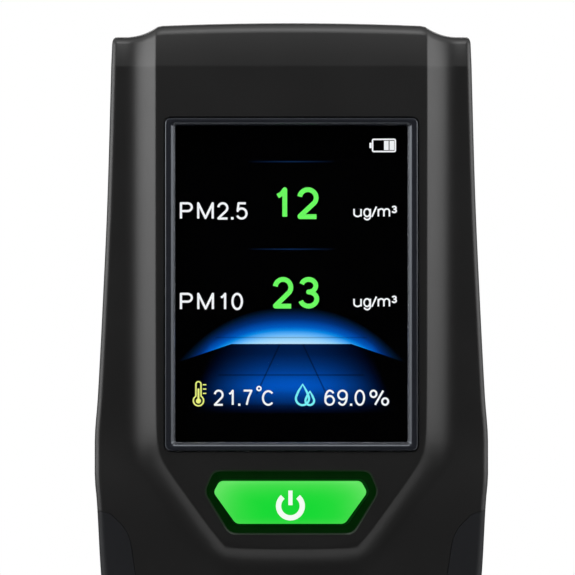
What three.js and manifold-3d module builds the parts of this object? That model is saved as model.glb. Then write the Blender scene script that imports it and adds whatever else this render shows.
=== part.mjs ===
// A handheld air quality monitor: a colour screen and a lit power key on a raised front panel,
// with a laser particle sensor, its fan, the boards and a flat battery inside.
// Millimetres, +Z up along the body, the screen faces -Y, the origin is under the middle of the base.

import * as THREE from 'three';
import { LoftGeometry } from 'three/addons/geometries/LoftGeometry.js';
import { mergeVertices } from 'three/addons/utils/BufferGeometryUtils.js';
import Module from 'manifold-3d';

const wasm = await Module();
wasm.setup();

// ---- Driving dimensions ------------------------------------------------------------------------

const HEIGHT = 156.4;            // base to the crown of the top edge
const PANEL_Y = -17.5;           // the flat front panel
const BACK_Y = 17.5;             // the flat part of the back
const WALL = 2.4;                // casing wall
const GAP = 0.3;                 // clearance between pieces that meet
const PARTING_Y = 2;             // plane where the two casing halves meet

// Half width of the casing against height.
const SIDE_STATIONS = [
  [0, 29.4], [14, 30.4], [34, 32.8], [54, 35.2], [68, 36.0], [73, 36.4],
  [79, 36.4], [87, 35.85], [105, 34.9], [124, 34.05], [156, 33.15],
];
// Where the back lies, and the radius of the long front corners, against height.
const BACK_STATIONS = [[0, 13.6], [30, 14.2], [50, 15.2], [72, 17.2], [82, BACK_Y], [156, BACK_Y]];
const FRONT_CORNER_STATIONS = [[0, 5], [34, 4.4], [52, 1.6], [70, 1.2], [156, 1.1]];
const BACK_CORNER = 6;
const TOP_ROUND = 2;             // edge radius of the top face
const BASE_ROUND = 3;            // edge radius of the base
const SIDE_ROUND_SHARE = 0.35;   // the ends round off less sideways than front to back
const LOW_WALL_SHARE = 0.5;      // the side walls are thinner in the lower half

const PANEL_HALF = 25.15;        // raised panel, half its width
const PANEL_TURN_Z = 76.8;       // below this its sides run inwards
const PANEL_TURN = THREE.MathUtils.degToRad(35.8);
const PANEL_FOOT_Z = 59.1;       // its flat lower edge
const PANEL_SOFTNESS = 1.4;      // rounding where those edges meet
// Width of the hollow sweep around the panel, and how far the skin lies behind the panel, against height.
const COVE_WIDTH_STATIONS = [[0, 4.2], [66, 4.2], [82, 6], [156, 6]];
const COVE_DROP_STATIONS = [[0, 2.2], [66, 2.2], [82, 3], [156, 3]];
const CREASE_Z = 148.4;          // above this the front leans back
const CREASE_LEAN = Math.tan(THREE.MathUtils.degToRad(8));
const HANDLE_LEAN = 0.9;         // the handle's front drifts back by this much at the base
const CROWN_DROP = 0.55;         // the top edge falls this much from its middle to the panel's side
const SHOULDER_START = 24.5;     // the shoulders begin this far from the middle
const SHOULDER_DROP = 1.95;      // and fall this much more
const SHOULDER_WIDTH = 6.2;

const SCREEN_Z = 108.1;          // middle of the screen
const BEZEL = { width: 46.6, height: 61.4, corner: 1.4, proud: 0.5, land: 0.8, slope: 0.9 };
const VIEW = { width: 42.9, height: 58.3 };
const WINDOW_Y = -16.6;          // front face of the clear window
const WINDOW_THICK = 0.8;
const LEDGE_Y = WINDOW_Y + WINDOW_THICK + GAP;
const LEDGE_THICK = 1.2;
const LCD = { width: 50, height: 66, z: 109, panelY: -13, panelThick: 1.6, frameThick: 1.6 };

const KEY_Z = 67.3;              // level of the power sign
const KEY = { top: 71.8, side: 69.7, foot: 63.9, topHalf: 13.05, sideHalf: 14.2, footHalf: 10.05 };
const KEY_MARGIN = 1.75;         // the shallow pocket around the key
const KEY_POCKET_Y = -16.1;
const KEY_PROUD = 0.9;
const KEY_CLEARANCE = 0.35;

// Front edge of a side grip, [x, z] from its top to its foot.
const GRIP_EDGE = [[37.5, 66.5], [33.6, 65.6], [30.5, 62], [29.3, 56], [28.2, 48], [26.2, 36], [25, 24], [25, 9]];
const GRIP_THICK = 1.2;

const BOARD = { half: 30, bottom: 60, top: 145, y: -8, thick: 1.6 };
const BOARD_SCREWS = [[-28, 142], [28, 142], [-28, 66], [28, 66]];
const CASE_SCREWS = [[-27, 148.5], [27, 148.5], [-21, 14], [21, 14]];
const SEAT_DEPTH = { top: 10.5, base: 8 };   // y of the screw seats in the upper and lower posts

const SENSOR = { half: 23, bottom: 104, top: 143, front: 0.5, back: 13, wall: 1.2 };
const FAN = { x: -11.5, z: 124, radius: 9, hub: 5, front: 4.2, back: 10.4, axle: 0.75, blades: 9 };
const VENT = { half: 8.5, slots: 7, pitch: 2.6, slot: 1.2 };
const INLET = { half: 14, front: 4.6, back: 13, top: 155.3, thick: 1.6, slots: 11 };

const TRIPOD = { z: 84, bore: 3.3, insert: 4.6, boss: 7, front: 8.6, back: 17.2 };
const LABEL = { half: 20, bottom: 93, top: 113, sink: 0.6 };
const BATTERY = { half: 19, bottom: 20, top: 57, front: 0, back: 10 };
const USB = { y: -1, half: 4.5, halfThick: 1.6, wall: 0.3, bottom: 0.6, top: 8 };

// ---- Small tools -------------------------------------------------------------------------------

const clamp01 = value => Math.min(Math.max(value, 0), 1);

// A smooth line through [position, value] stations that never swings past them.
function lineThrough(stations) {
  const last = stations.length - 1;
  const rise = i => (stations[i + 1][1] - stations[i][1]) / (stations[i + 1][0] - stations[i][0]);
  const slopes = stations.map((station, i) => {
    if (i === 0 || i === last) return rise(Math.min(i, last - 1));
    const [before, after] = [rise(i - 1), rise(i)];
    return before * after > 0 ? (2 * before * after) / (before + after) : 0;
  });
  return position => {
    let i = 0;
    while (i < last - 1 && position > stations[i + 1][0]) i += 1;
    const [start, from] = stations[i];
    const [end, to] = stations[i + 1];
    const span = end - start;
    const t = clamp01((position - start) / span);
    const rest = 1 - t;
    const levels = from * (1 + 2 * t) * rest * rest + to * t * t * (3 - 2 * t);
    return levels + span * t * rest * (slopes[i] * rest - slopes[i + 1] * t);
  };
}

// A closed three.js geometry as a solid that can be joined and cut.
function solid(geometry) {
  const whole = geometry.index ? geometry.toNonIndexed() : geometry;
  const bare = new THREE.BufferGeometry();
  bare.setAttribute('position', whole.getAttribute('position'));
  const merged = mergeVertices(bare, 1e-4);
  return new wasm.Manifold(new wasm.Mesh({
    numProp: 3,
    vertProperties: merged.getAttribute('position').array,
    triVerts: new Uint32Array(merged.index.array),
  }));
}

// The largest body of a solid, without the crumbs that a cut along a curved skin can leave.
function mainBody(shape) {
  return shape.decompose().reduce((largest, body) => (body.volume() > largest.volume() ? body : largest));
}

const join = (first, ...others) => others.reduce((whole, other) => whole.add(other), first);
const cut = (first, ...others) => others.reduce((whole, other) => whole.subtract(other), first);

function block(x0, x1, y0, y1, z0, z1) {
  const box = new THREE.BoxGeometry(x1 - x0, y1 - y0, z1 - z0);
  return solid(box.translate((x0 + x1) / 2, (y0 + y1) / 2, (z0 + z1) / 2));
}

// A round bar along Y.
function bar(x, z, radius, y0, y1, sides = 24) {
  const rod = new THREE.CylinderGeometry(radius, radius, y1 - y0, sides);
  return solid(rod.translate(x, (y0 + y1) / 2, z));
}

// A turned piece along Y; the profile is [radius, y] points from axis to axis.
function turned(profile, x, z, sides = 16) {
  const points = profile.map(([radius, y]) => new THREE.Vector2(radius, y));
  return solid(new THREE.LatheGeometry(points, sides).translate(x, 0, z));
}

// A plate cut to a shape drawn in X and Z.
function plate(shape, y0, y1, curveSegments = 3) {
  const options = { depth: y1 - y0, bevelEnabled: false, curveSegments };
  return solid(new THREE.ExtrudeGeometry(shape, options).rotateX(Math.PI / 2).translate(0, y1, 0));
}

// A closed shape through corner points, each corner rounded.
function roundedShape(corners, radius) {
  const points = corners.map(([x, z]) => new THREE.Vector2(x, z));
  const shape = new THREE.Shape();
  points.forEach((corner, i) => {
    const before = points[(i + points.length - 1) % points.length];
    const after = points[(i + 1) % points.length];
    const enter = before.clone().sub(corner).setLength(radius).add(corner);
    const leave = after.clone().sub(corner).setLength(radius).add(corner);
    if (i === 0) shape.moveTo(enter.x, enter.y);
    else shape.lineTo(enter.x, enter.y);
    shape.quadraticCurveTo(corner.x, corner.y, leave.x, leave.y);
  });
  shape.closePath();
  return shape;
}

function roundedRectangle(width, height, z, radius) {
  const [x, half] = [width / 2, height / 2];
  return roundedShape([[-x, z - half], [x, z - half], [x, z + half], [-x, z + half]], radius);
}

// ---- The casing's outer form -------------------------------------------------------------------

const sideAt = lineThrough(SIDE_STATIONS);
const backAt = lineThrough(BACK_STATIONS);
const frontCornerAt = lineThrough(FRONT_CORNER_STATIONS);
const coveWidthAt = lineThrough(COVE_WIDTH_STATIONS);
const coveDropAt = lineThrough(COVE_DROP_STATIONS);

// The larger of two values, with a soft step from one to the other.
const softMax = (a, b, softness) => (a + b + Math.hypot(a - b, softness)) / 2;

// Distance of a front-view point from the raised panel: negative inside its outline.
function panelDistance(x, z) {
  const side = Math.abs(x) - PANEL_HALF;
  const slant = (side + (PANEL_TURN_Z - z) * Math.tan(PANEL_TURN)) * Math.cos(PANEL_TURN);
  return softMax(softMax(side, slant, PANEL_SOFTNESS), PANEL_FOOT_Z - z, PANEL_SOFTNESS);
}

// Half width of the raised panel at a height, found by halving.
function panelHalfAt(z) {
  const level = Math.max(z, PANEL_FOOT_Z + PANEL_SOFTNESS);
  let [inside, outside] = [0, PANEL_HALF + 1];
  for (let i = 0; i < 30; i += 1) {
    const middle = (inside + outside) / 2;
    if (panelDistance(middle, level) < 0) inside = middle;
    else outside = middle;
  }
  return inside;
}

// The front skin at a front-view point: flat panel, hollow sweep, then flank or handle.
function frontAt(x, z) {
  const sweep = 1 - clamp01(panelDistance(x, z) / coveWidthAt(z));
  const lean = z > CREASE_Z ? (z - CREASE_Z) * CREASE_LEAN : 0;
  const drift = HANDLE_LEAN * clamp01(1 - z / PANEL_FOOT_Z) ** 2;
  return PANEL_Y + coveDropAt(z) * (1 - sweep * sweep) + lean + drift;
}

// How far the top edge lies below the crown.
function topDropAt(x) {
  const across = Math.abs(x);
  const crown = CROWN_DROP * Math.min(across / PANEL_HALF, 1) ** 2;
  const rest = 1 - clamp01((across - SHOULDER_START) / SHOULDER_WIDTH);
  return crown + SHOULDER_DROP * (1 - rest * rest);
}

// A quarter arc of points about a centre, from one angle to the next.
function arc(x, y, radius, from, steps) {
  const points = [];
  for (let i = 0; i <= steps; i += 1) {
    const angle = from + (i / steps) * (Math.PI / 2);
    points.push([x + radius * Math.cos(angle), y + radius * Math.sin(angle)]);
  }
  return points;
}

// Half of one level section, x >= 0, from the middle of the front to the middle of the back.
function halfSection(z, wall, trim, coveSteps, cornerSteps) {
  const sideWall = wall * (z > HEIGHT / 2 ? 1 : LOW_WALL_SHARE);
  const side = sideAt(z) - sideWall - trim * SIDE_ROUND_SHARE;
  const inset = wall + trim;
  const back = backAt(z) - inset;
  const corner = Math.max(frontCornerAt(z) - inset, 0.6);
  const backCorner = Math.max(BACK_CORNER - inset, 1.5);
  const panel = panelHalfAt(z);
  const limit = side - corner;
  const reach = Math.min(coveWidthAt(z) / (z < PANEL_TURN_Z ? Math.cos(PANEL_TURN) : 1), limit - 0.4 - panel);
  const points = [0, panel / 2, panel].map(x => [x, frontAt(x, z) + inset]);
  for (let i = 1; i <= coveSteps; i += 1) {
    const x = panel + (reach * i) / coveSteps;
    points.push([x, frontAt(x, z) + inset]);
  }
  const edge = frontAt(limit, z) + inset;
  points.push(...arc(limit, edge + corner, corner, -Math.PI / 2, cornerSteps));
  points.push(...arc(side - backCorner, back - backCorner, backCorner, 0, cornerSteps));
  points.push([panel, back], [panel / 2, back], [0, back]);
  return points;
}

// The outer form shrunk by an inset, as one solid.
function form(inset, levels, coveSteps, cornerSteps) {
  const rings = levels.map(({ z, trim }) => {
    const half = halfSection(z, inset, trim, coveSteps, cornerSteps);
    const mirrored = half.slice(1, -1).reverse().map(([x, y]) => [-x, y]);
    return [...half, ...mirrored].map(([x, y]) => {
      const share = clamp01((z - CREASE_Z) / (HEIGHT - CREASE_Z));
      return new THREE.Vector3(x, y, z - topDropAt(x) * share);
    });
  });
  return solid(new LoftGeometry(rings, { capStart: true, capEnd: true }));
}

// Levels that round the two ends and follow the given heights between them.
function levelsBetween(bottom, top, heights, baseRound, topRound, steps) {
  const levels = [];
  for (let i = 0; i < steps; i += 1) {
    const angle = (i / steps) * (Math.PI / 2);
    levels.push({ z: bottom + baseRound * (1 - Math.sin(angle)), trim: baseRound * (1 - Math.cos(angle)) });
  }
  levels.reverse();
  heights.forEach(z => levels.push({ z, trim: 0 }));
  for (let i = 0; i <= steps; i += 1) {
    const angle = (i / steps) * (Math.PI / 2);
    levels.push({ z: top - topRound * (1 - Math.sin(angle)), trim: topRound * (1 - Math.cos(angle)) });
  }
  const flatBase = { z: bottom, trim: baseRound };
  return [flatBase, ...levels];
}

const OUTER_HEIGHTS = [
  14, 30, 46, 54, 57.5, PANEL_FOOT_Z, 61, 64, 68, 73, PANEL_TURN_Z, 79, 82, 88, 105, 124, CREASE_Z,
];
const INNER_HEIGHTS = [24, 44, 54, PANEL_FOOT_Z, 61.5, 66, 73, PANEL_TURN_Z, 87, 120, CREASE_Z];

const outerForm = form(0, levelsBetween(0, HEIGHT, OUTER_HEIGHTS, BASE_ROUND, TOP_ROUND, 3), 4, 3);
const innerForm = form(WALL, levelsBetween(WALL, HEIGHT - WALL, INNER_HEIGHTS, 1, 1, 1), 2, 2);

// ---- Shapes that several pieces share ------------------------------------------------------------

// Outline of the power key, grown by a margin.
function keyShape(margin, radius) {
  const { top, side, foot, topHalf, sideHalf, footHalf } = KEY;
  const slant = margin * 0.75;
  return roundedShape([
    [-footHalf - slant, foot - margin],
    [footHalf + slant, foot - margin],
    [sideHalf + margin, side],
    [topHalf + slant, top + margin],
    [-topHalf - slant, top + margin],
    [-sideHalf - margin, side],
  ], radius);
}

// Region of one side grip in the front view; side is -1 or 1, and a margin makes it larger.
function gripShape(side, margin) {
  const edge = GRIP_EDGE.map(([x, z]) => [side * (x - margin), z]);
  const [top, foot] = [edge[0][1] + margin, edge[edge.length - 1][1] - margin];
  const beyond = side * (PANEL_HALF + SHOULDER_WIDTH + 10);
  const curve = edge.slice(1).map(([x, z]) => new THREE.Vector2(x, z));
  const shape = new THREE.Shape();
  shape.moveTo(beyond, top);
  shape.lineTo(edge[0][0], top);
  shape.splineThru(curve);
  shape.lineTo(edge[edge.length - 1][0], foot);
  shape.lineTo(beyond, foot);
  shape.closePath();
  const outline = new THREE.Shape(shape.getPoints(2));
  return outline;
}

const gripLevels = levelsBetween(3, 84, [14, 30, 46, 54, PANEL_FOOT_Z, 68, 73, 79], 0.5, 0.5, 1);
const gripFloor = form(GRIP_THICK + GAP, gripLevels, 4, 3);
const gripBack = form(GRIP_THICK, gripLevels, 4, 3);

const casingForm = cut(outerForm, ...[-1, 1].map(side => cut(plate(gripShape(side, GAP), -30, 30), gripFloor)));
const shell = casingForm.subtract(innerForm);

const before = y => block(-60, 60, -60, y, -10, HEIGHT + 10);
const behind = y => block(-60, 60, y, 60, -10, HEIGHT + 10);

// ---- Casing ------------------------------------------------------------------------------------

function frontCase() {
  const half = PARTING_Y - GAP / 2;
  const posts = [
    ...CASE_SCREWS.map(([x, z]) => bar(x, z, 2.7, -30, half, 16)),
    ...BOARD_SCREWS.map(([x, z]) => bar(x, z, 2.2, -30, BOARD.y - GAP, 12)),
  ];
  const ledgeEnd = LEDGE_Y + LEDGE_THICK;
  const ledge = plate(roundedRectangle(BEZEL.width + 3.4, BEZEL.height + 3.4, SCREEN_Z, 3), LEDGE_Y - 1, ledgeEnd, 2);
  const body = join(shell, ...posts.map(post => post.intersect(casingForm)), ledge).intersect(before(half));
  const fit = 2 * GAP;
  return cut(
    body,
    plate(roundedRectangle(BEZEL.width + fit, BEZEL.height + fit, SCREEN_Z, BEZEL.corner), -30, LEDGE_Y),
    plate(roundedRectangle(VIEW.width + fit, VIEW.height + fit, SCREEN_Z, 0.5), -30, 0, 1),
    plate(keyShape(KEY_MARGIN, 1.4), -30, KEY_POCKET_Y),
    plate(keyShape(KEY_CLEARANCE, 1), -30, -5),
    ...CASE_SCREWS.map(([x, z]) => bar(x, z, 1.6, -8.5, 10, 12)),
    ...BOARD_SCREWS.map(([x, z]) => bar(x, z, 1.1, -11.6, 0, 8)),
    usbMouth(),
  );
}

function rearCase() {
  const half = PARTING_Y + GAP / 2;
  const seats = CASE_SCREWS.map(([x, z]) => [x, z, z > HEIGHT / 2 ? SEAT_DEPTH.top : SEAT_DEPTH.base]);
  const posts = seats.map(([x, z]) => bar(x, z, 3.9, half, 30, 16));
  const boss = bar(0, TRIPOD.z, TRIPOD.boss, TRIPOD.front - 1.2, 30, 24);
  const body = join(shell, ...posts.map(post => post.intersect(casingForm)), boss.intersect(casingForm));
  const slots = [];
  for (let i = 0; i < VENT.slots; i += 1) {
    const z = FAN.z + (i - (VENT.slots - 1) / 2) * VENT.pitch;
    slots.push(block(FAN.x - VENT.half, FAN.x + VENT.half, 12, 30, z - VENT.slot / 2, z + VENT.slot / 2));
  }
  for (let i = 0; i < 4; i += 1) {
    const z = 121.5 + i * VENT.pitch;
    slots.push(block(29, 40, 4.4, 9.6, z - VENT.slot / 2, z + VENT.slot / 2));
  }
  return cut(
    body.intersect(behind(half)),
    ...seats.map(([x, z, y]) => bar(x, z, 2.9, y, 30, 16)),
    ...seats.map(([x, z, y]) => bar(x, z, 1.6, 0, y + 1, 12)),
    bar(0, TRIPOD.z, TRIPOD.insert + GAP, TRIPOD.front - GAP, 30, 24),
    block(-INLET.half - GAP, INLET.half + GAP, INLET.front - GAP, INLET.back + GAP, HEIGHT - 8, HEIGHT + 5),
    plate(roundedRectangle(2 * LABEL.half, LABEL.top - LABEL.bottom, (LABEL.top + LABEL.bottom) / 2, 1.5),
      BACK_Y - LABEL.sink, 30),
    ...slots,
  );
}

function grip(side) {
  return plate(gripShape(side, 0), -30, 30).intersect(outerForm).subtract(gripBack);
}

// ---- Screen --------------------------------------------------------------------------------------

// The raised frame: a narrow land, then a face that slopes in to the view.
function screenBezel() {
  const front = PANEL_Y - BEZEL.proud;
  const ring = cut(
    plate(roundedRectangle(BEZEL.width, BEZEL.height, SCREEN_Z, BEZEL.corner - GAP), front, WINDOW_Y - GAP),
    block(-VIEW.width / 2, VIEW.width / 2, -30, 0, SCREEN_Z - VIEW.height / 2, SCREEN_Z + VIEW.height / 2),
  );
  const inner = [VIEW.width / 2, VIEW.height / 2];
  const rim = BEZEL.width / 2 - BEZEL.land - inner[0];
  const level = (grow, y) => [[-1, -1], [1, -1], [1, 1], [-1, 1]].map(([x, z]) => (
    new THREE.Vector3(x * (inner[0] + grow), y, SCREEN_Z + z * (inner[1] + grow))
  ));
  const overshoot = 1;
  const rings = [
    level(-overshoot * (rim / BEZEL.slope), front + BEZEL.slope + overshoot),
    level(rim + overshoot * (rim / BEZEL.slope), front - overshoot),
  ];
  return cut(ring, solid(new LoftGeometry(rings, { capStart: true, capEnd: true })));
}

const displayWindow = () => plate(
  roundedRectangle(BEZEL.width, BEZEL.height, SCREEN_Z, BEZEL.corner - GAP), WINDOW_Y, WINDOW_Y + WINDOW_THICK,
);

function windowGasket() {
  const front = LEDGE_Y + LEDGE_THICK + GAP;
  const outline = roundedRectangle(BEZEL.width, BEZEL.height, SCREEN_Z, 1);
  const hole = plate(roundedRectangle(VIEW.width + 1, VIEW.height + 1, SCREEN_Z, 0.5), -30, 0, 1);
  return cut(plate(outline, front, LCD.panelY - GAP, 1), hole);
}

function lcdPlate(width, height, front, thickness) {
  return block(-width / 2, width / 2, front, front + thickness, LCD.z - height / 2, LCD.z + height / 2);
}

// The flat ribbon that leaves the screen's lower edge and folds back onto the board.
function displayFlex() {
  const [thickness, half] = [0.2, 6];
  const [start, end] = [LCD.panelY + 0.7, BOARD.y - GAP - thickness];
  const top = LCD.z - LCD.height / 2 - GAP;
  const turnZ = top - 2.4;
  const outline = new THREE.Shape();
  outline.moveTo(start, top);
  outline.bezierCurveTo(start, turnZ, end, turnZ + 1.6, end, turnZ - 1.6);
  outline.lineTo(end + thickness, turnZ - 1.6);
  outline.bezierCurveTo(end + thickness, turnZ + 2, start + thickness, turnZ + 0.4, start + thickness, top);
  const options = { depth: 2 * half, bevelEnabled: false, curveSegments: 6 };
  const ribbon = new THREE.ExtrudeGeometry(outline, options);
  const toBody = new THREE.Matrix4().set(0, 0, 1, -half, 1, 0, 0, 0, 0, 1, 0, 0, 0, 0, 0, 1);
  return solid(ribbon.applyMatrix4(toBody));
}

// ---- Power key -------------------------------------------------------------------------------------

const keyFlangeY = KEY_POCKET_Y + 1 + GAP;
const switchTopY = BOARD.y - GAP - 3.5;

function powerButton() {
  return join(
    plate(keyShape(0, 0.9), PANEL_Y - KEY_PROUD, keyFlangeY + 1, 4),
    plate(keyShape(KEY_CLEARANCE + 0.9, 1), keyFlangeY, keyFlangeY + 1),
    bar(0, KEY_Z, 1.6, keyFlangeY, switchTopY - 1.3, 12),
  );
}

const switchPlunger = () => bar(0, KEY_Z, 1.5, switchTopY - 1, switchTopY + 0.9, 12);

const powerSwitch = () => cut(
  block(-3, 3, switchTopY, BOARD.y - GAP, KEY_Z - 3, KEY_Z + 3),
  bar(0, KEY_Z, 1.8, switchTopY - 1, switchTopY + 2, 12),
);

const buttonLed = x => block(x - 1.6, x + 1.6, BOARD.y - GAP - 1.4, BOARD.y - GAP, KEY_Z - 0.8, KEY_Z + 0.8);

// ---- Boards and battery ------------------------------------------------------------------------------

const boardBack = BOARD.y + BOARD.thick + GAP;

const mainBoard = () => cut(
  block(-BOARD.half, BOARD.half, BOARD.y, BOARD.y + BOARD.thick, BOARD.bottom, BOARD.top),
  ...BOARD_SCREWS.map(([x, z]) => bar(x, z, 1.15, -20, 0, 8)),
);

const mainChip = () => block(-9, 3, boardBack, boardBack + 1.6, 84, 96);
const buzzer = () => bar(16, 92, 4.5, boardBack, boardBack + 3.5, 20);
const batteryPlug = () => block(10, 18, boardBack, boardBack + 4, 61, 66);
const batteryCell = () => plate(
  roundedRectangle(2 * BATTERY.half, BATTERY.top - BATTERY.bottom, (BATTERY.top + BATTERY.bottom) / 2, 2),
  BATTERY.front, BATTERY.back,
);
const batteryPad = () => block(-14, 14, BATTERY.back + GAP, BATTERY.back + GAP + 1, 26, 51);

function batteryLead() {
  const route = new THREE.CatmullRomCurve3([
    new THREE.Vector3(9, 5, BATTERY.top + GAP),
    new THREE.Vector3(9, 4.6, BATTERY.top + 3.5),
    new THREE.Vector3(11.5, 2.6, BATTERY.top + 6.6),
    new THREE.Vector3(14, 0.6, 63.5),
    new THREE.Vector3(14, boardBack + 4 + GAP, 63.5),
  ]);
  const section = new THREE.Shape().absarc(0, 0, 0.8, 0, 2 * Math.PI);
  return solid(new THREE.ExtrudeGeometry(section, { steps: 12, curveSegments: 4, extrudePath: route }));
}

const chargeBoard = () => block(-12, 12, USB.y + USB.halfThick + GAP, USB.y + USB.halfThick + GAP + 1.2, 3, 11);

function usbSocket() {
  const [x, y] = [USB.half, USB.halfThick];
  const hollow = block(-x + USB.wall, x - USB.wall, USB.y - y + USB.wall, USB.y + y - USB.wall, 0, USB.top - 1);
  return cut(block(-x, x, USB.y - y, USB.y + y, USB.bottom, USB.top), hollow);
}

function usbMouth() {
  const room = 0.7;
  return block(-USB.half - room, USB.half + room, USB.y - USB.halfThick - room, USB.y + USB.halfThick + room, -1, 4);
}

// ---- Particle sensor and air path -----------------------------------------------------------------------

const sensorFloor = SENSOR.front + SENSOR.wall;
const sensorRim = SENSOR.back - SENSOR.wall - GAP;

function sensorHousing() {
  const { half, bottom, top, front, wall } = SENSOR;
  return cut(
    block(-half, half, front, sensorRim, bottom, top),
    block(-half + wall, half - wall, sensorFloor, 30, bottom + wall, top - wall),
    block(-6, 12, 4.5, 9.5, top - 3, top + 3),
  );
}

const sensorCover = () => cut(
  block(-SENSOR.half, SENSOR.half, sensorRim + GAP, SENSOR.back, SENSOR.bottom, SENSOR.top),
  bar(FAN.x, FAN.z, FAN.radius + 0.4, 5, 20, 24),
);

const sensorBoard = () => block(0, 20, sensorFloor + GAP, sensorFloor + GAP + 1.2, 120, 140);
const laserHolder = () => cut(
  block(3, 15, sensorFloor + GAP, 9.4, 107.5, 115.5),
  solid(new THREE.CylinderGeometry(2.9, 2.9, 14, 16).rotateZ(Math.PI / 2).translate(9, 5.8, 111.5)),
);
const laserDiode = () => solid(
  new THREE.CylinderGeometry(2.6, 2.6, 13, 16).rotateZ(Math.PI / 2).translate(9.5, 5.8, 111.5),
);

const fanMotor = () => bar(FAN.x, FAN.z, 4.6, sensorFloor + GAP, FAN.front - GAP, 20);
const fanAxle = () => bar(FAN.x, FAN.z, FAN.axle, FAN.front, FAN.back - 0.4, 16);

function fanRotor() {
  const middle = (FAN.front + FAN.back) / 2;
  const blade = new THREE.BoxGeometry(FAN.radius - FAN.hub + 0.8, FAN.back - FAN.front - 0.8, 0.8);
  const blades = [];
  for (let i = 0; i < FAN.blades; i += 1) {
    const placed = blade.clone().rotateY(0.35).translate((FAN.radius + FAN.hub) / 2 - 0.4, middle, 0);
    placed.rotateY((i / FAN.blades) * 2 * Math.PI).translate(FAN.x, 0, FAN.z);
    blades.push(solid(placed));
  }
  const hub = bar(FAN.x, FAN.z, FAN.hub, FAN.front, FAN.back, 20);
  return cut(join(hub, ...blades), bar(FAN.x, FAN.z, FAN.axle + 0.1, 0, 20, 16));
}

function inletGrille() {
  const pitch = (2 * INLET.half - 2) / INLET.slots;
  const slots = [];
  for (let i = 0; i < INLET.slots; i += 1) {
    const x = (i - (INLET.slots - 1) / 2) * pitch;
    slots.push(block(x - pitch / 4, x + pitch / 4, INLET.front + 1, INLET.back - 1, 140, 160));
  }
  const { half, front, back, top, thick } = INLET;
  return cut(block(-half, half, front, back, top - thick, top), ...slots);
}

const climateBoard = () => block(28.4, 29.4, 3, 11, 119, 132);
const climateSensor = () => block(29.7, 30.7, 5.4, 8.6, 123.8, 127);

// ---- Fasteners, insert and label ---------------------------------------------------------------------------

// A cross-head screw pointing to -Y: seat is where the head rests.
function screw(x, z, seat, headRadius, headHeight, shankRadius, length) {
  const top = seat + headHeight;
  const body = turned([
    [0, seat - length], [shankRadius * 0.6, seat - length], [shankRadius, seat - length + 1],
    [shankRadius, seat], [headRadius, seat], [headRadius, top - 0.4], [headRadius - 0.6, top], [0, top],
  ], x, z, 12);
  const [arm, width] = [headRadius * 0.62, headRadius * 0.16];
  return cut(
    body,
    block(x - arm, x + arm, top - headHeight * 0.6, top + 1, z - width, z + width),
    block(x - width, x + width, top - headHeight * 0.6, top + 1, z - arm, z + arm),
  );
}

const tripodInsert = () => cut(
  bar(0, TRIPOD.z, TRIPOD.insert, TRIPOD.front, TRIPOD.back, 24),
  bar(0, TRIPOD.z, TRIPOD.bore, TRIPOD.front + 0.8, 30, 24),
);

function ratingLabel() {
  const y = BACK_Y - LABEL.sink + GAP;
  const [width, height] = [2 * LABEL.half - 2 * GAP, LABEL.top - LABEL.bottom - 2 * GAP];
  return plate(roundedRectangle(width, height, (LABEL.top + LABEL.bottom) / 2, 1.3), y, y + 0.2);
}

// ---- Finishes -----------------------------------------------------------------------------------------------

function finish(color, roughness, metalness = 0) {
  return () => new THREE.MeshStandardMaterial({ color, roughness, metalness });
}

const blackShell = finish(0x232325, 0.5);
const darkGloss = finish(0x17181b, 0.25);
const clearWindow = finish(0x0b0c0e, 0.05);
const foam = finish(0x1a1a1a, 0.9);
const screenGlass = finish(0x05070c, 0.1);
const steel = finish(0xb9bcc0, 0.35, 1);
const boardGreen = finish(0x14532d, 0.5);
const chipBlack = finish(0x111113, 0.6);
const litGreen = finish(0x2edf3f, 0.3);
const ledWhite = finish(0xe8f5e0, 0.3);
const sensorBlue = finish(0x24364f, 0.45, 0.4);
const brass = finish(0xb08d45, 0.35, 1);
const cellWrap = finish(0x9aa3ad, 0.5);
const leadRed = finish(0x8e1f1f, 0.6);
const gripRubber = finish(0x1b1c1f, 0.8);
const labelGrey = finish(0x8d9093, 0.7);

// ---- Assembly -------------------------------------------------------------------------------------------------

const monitor = new THREE.Group();

function place(name, shape, material) {
  const { numProp, vertProperties, triVerts } = shape.getMesh();
  const geometry = new THREE.BufferGeometry();
  const stride = new THREE.InterleavedBuffer(vertProperties, numProp);
  geometry.setAttribute('position', new THREE.InterleavedBufferAttribute(stride, 3, 0));
  geometry.setIndex(new THREE.BufferAttribute(triVerts, 1));
  const mesh = new THREE.Mesh(geometry.toNonIndexed(), material());
  mesh.geometry.computeVertexNormals();
  mesh.name = name;
  monitor.add(mesh);
}

place('front_case', mainBody(frontCase()), blackShell);
place('rear_case', mainBody(rearCase()), blackShell);
place('grip_left', grip(-1), gripRubber);
place('grip_right', grip(1), gripRubber);

place('screen_bezel', screenBezel(), darkGloss);
place('display_window', displayWindow(), clearWindow);
place('window_gasket', windowGasket(), foam);
place('lcd_panel', lcdPlate(LCD.width - 3, LCD.height - 3, LCD.panelY, LCD.panelThick), screenGlass);
place('lcd_frame', lcdPlate(LCD.width, LCD.height, LCD.panelY + LCD.panelThick + GAP, LCD.frameThick), steel);
place('display_flex', displayFlex(), finish(0xa5642a, 0.5));

place('power_button', powerButton(), litGreen);
place('switch_plunger', switchPlunger(), chipBlack);
place('power_switch', powerSwitch(), steel);
place('button_led_left', buttonLed(-9.5), ledWhite);
place('button_led_right', buttonLed(9.5), ledWhite);

place('main_board', mainBoard(), boardGreen);
place('main_chip', mainChip(), chipBlack);
place('buzzer', buzzer(), chipBlack);
place('battery_plug', batteryPlug(), ledWhite);
place('battery_cell', batteryCell(), cellWrap);
place('battery_pad', batteryPad(), foam);
place('battery_lead', batteryLead(), leadRed);
place('charge_board', chargeBoard(), boardGreen);
place('usb_socket', usbSocket(), steel);

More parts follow.
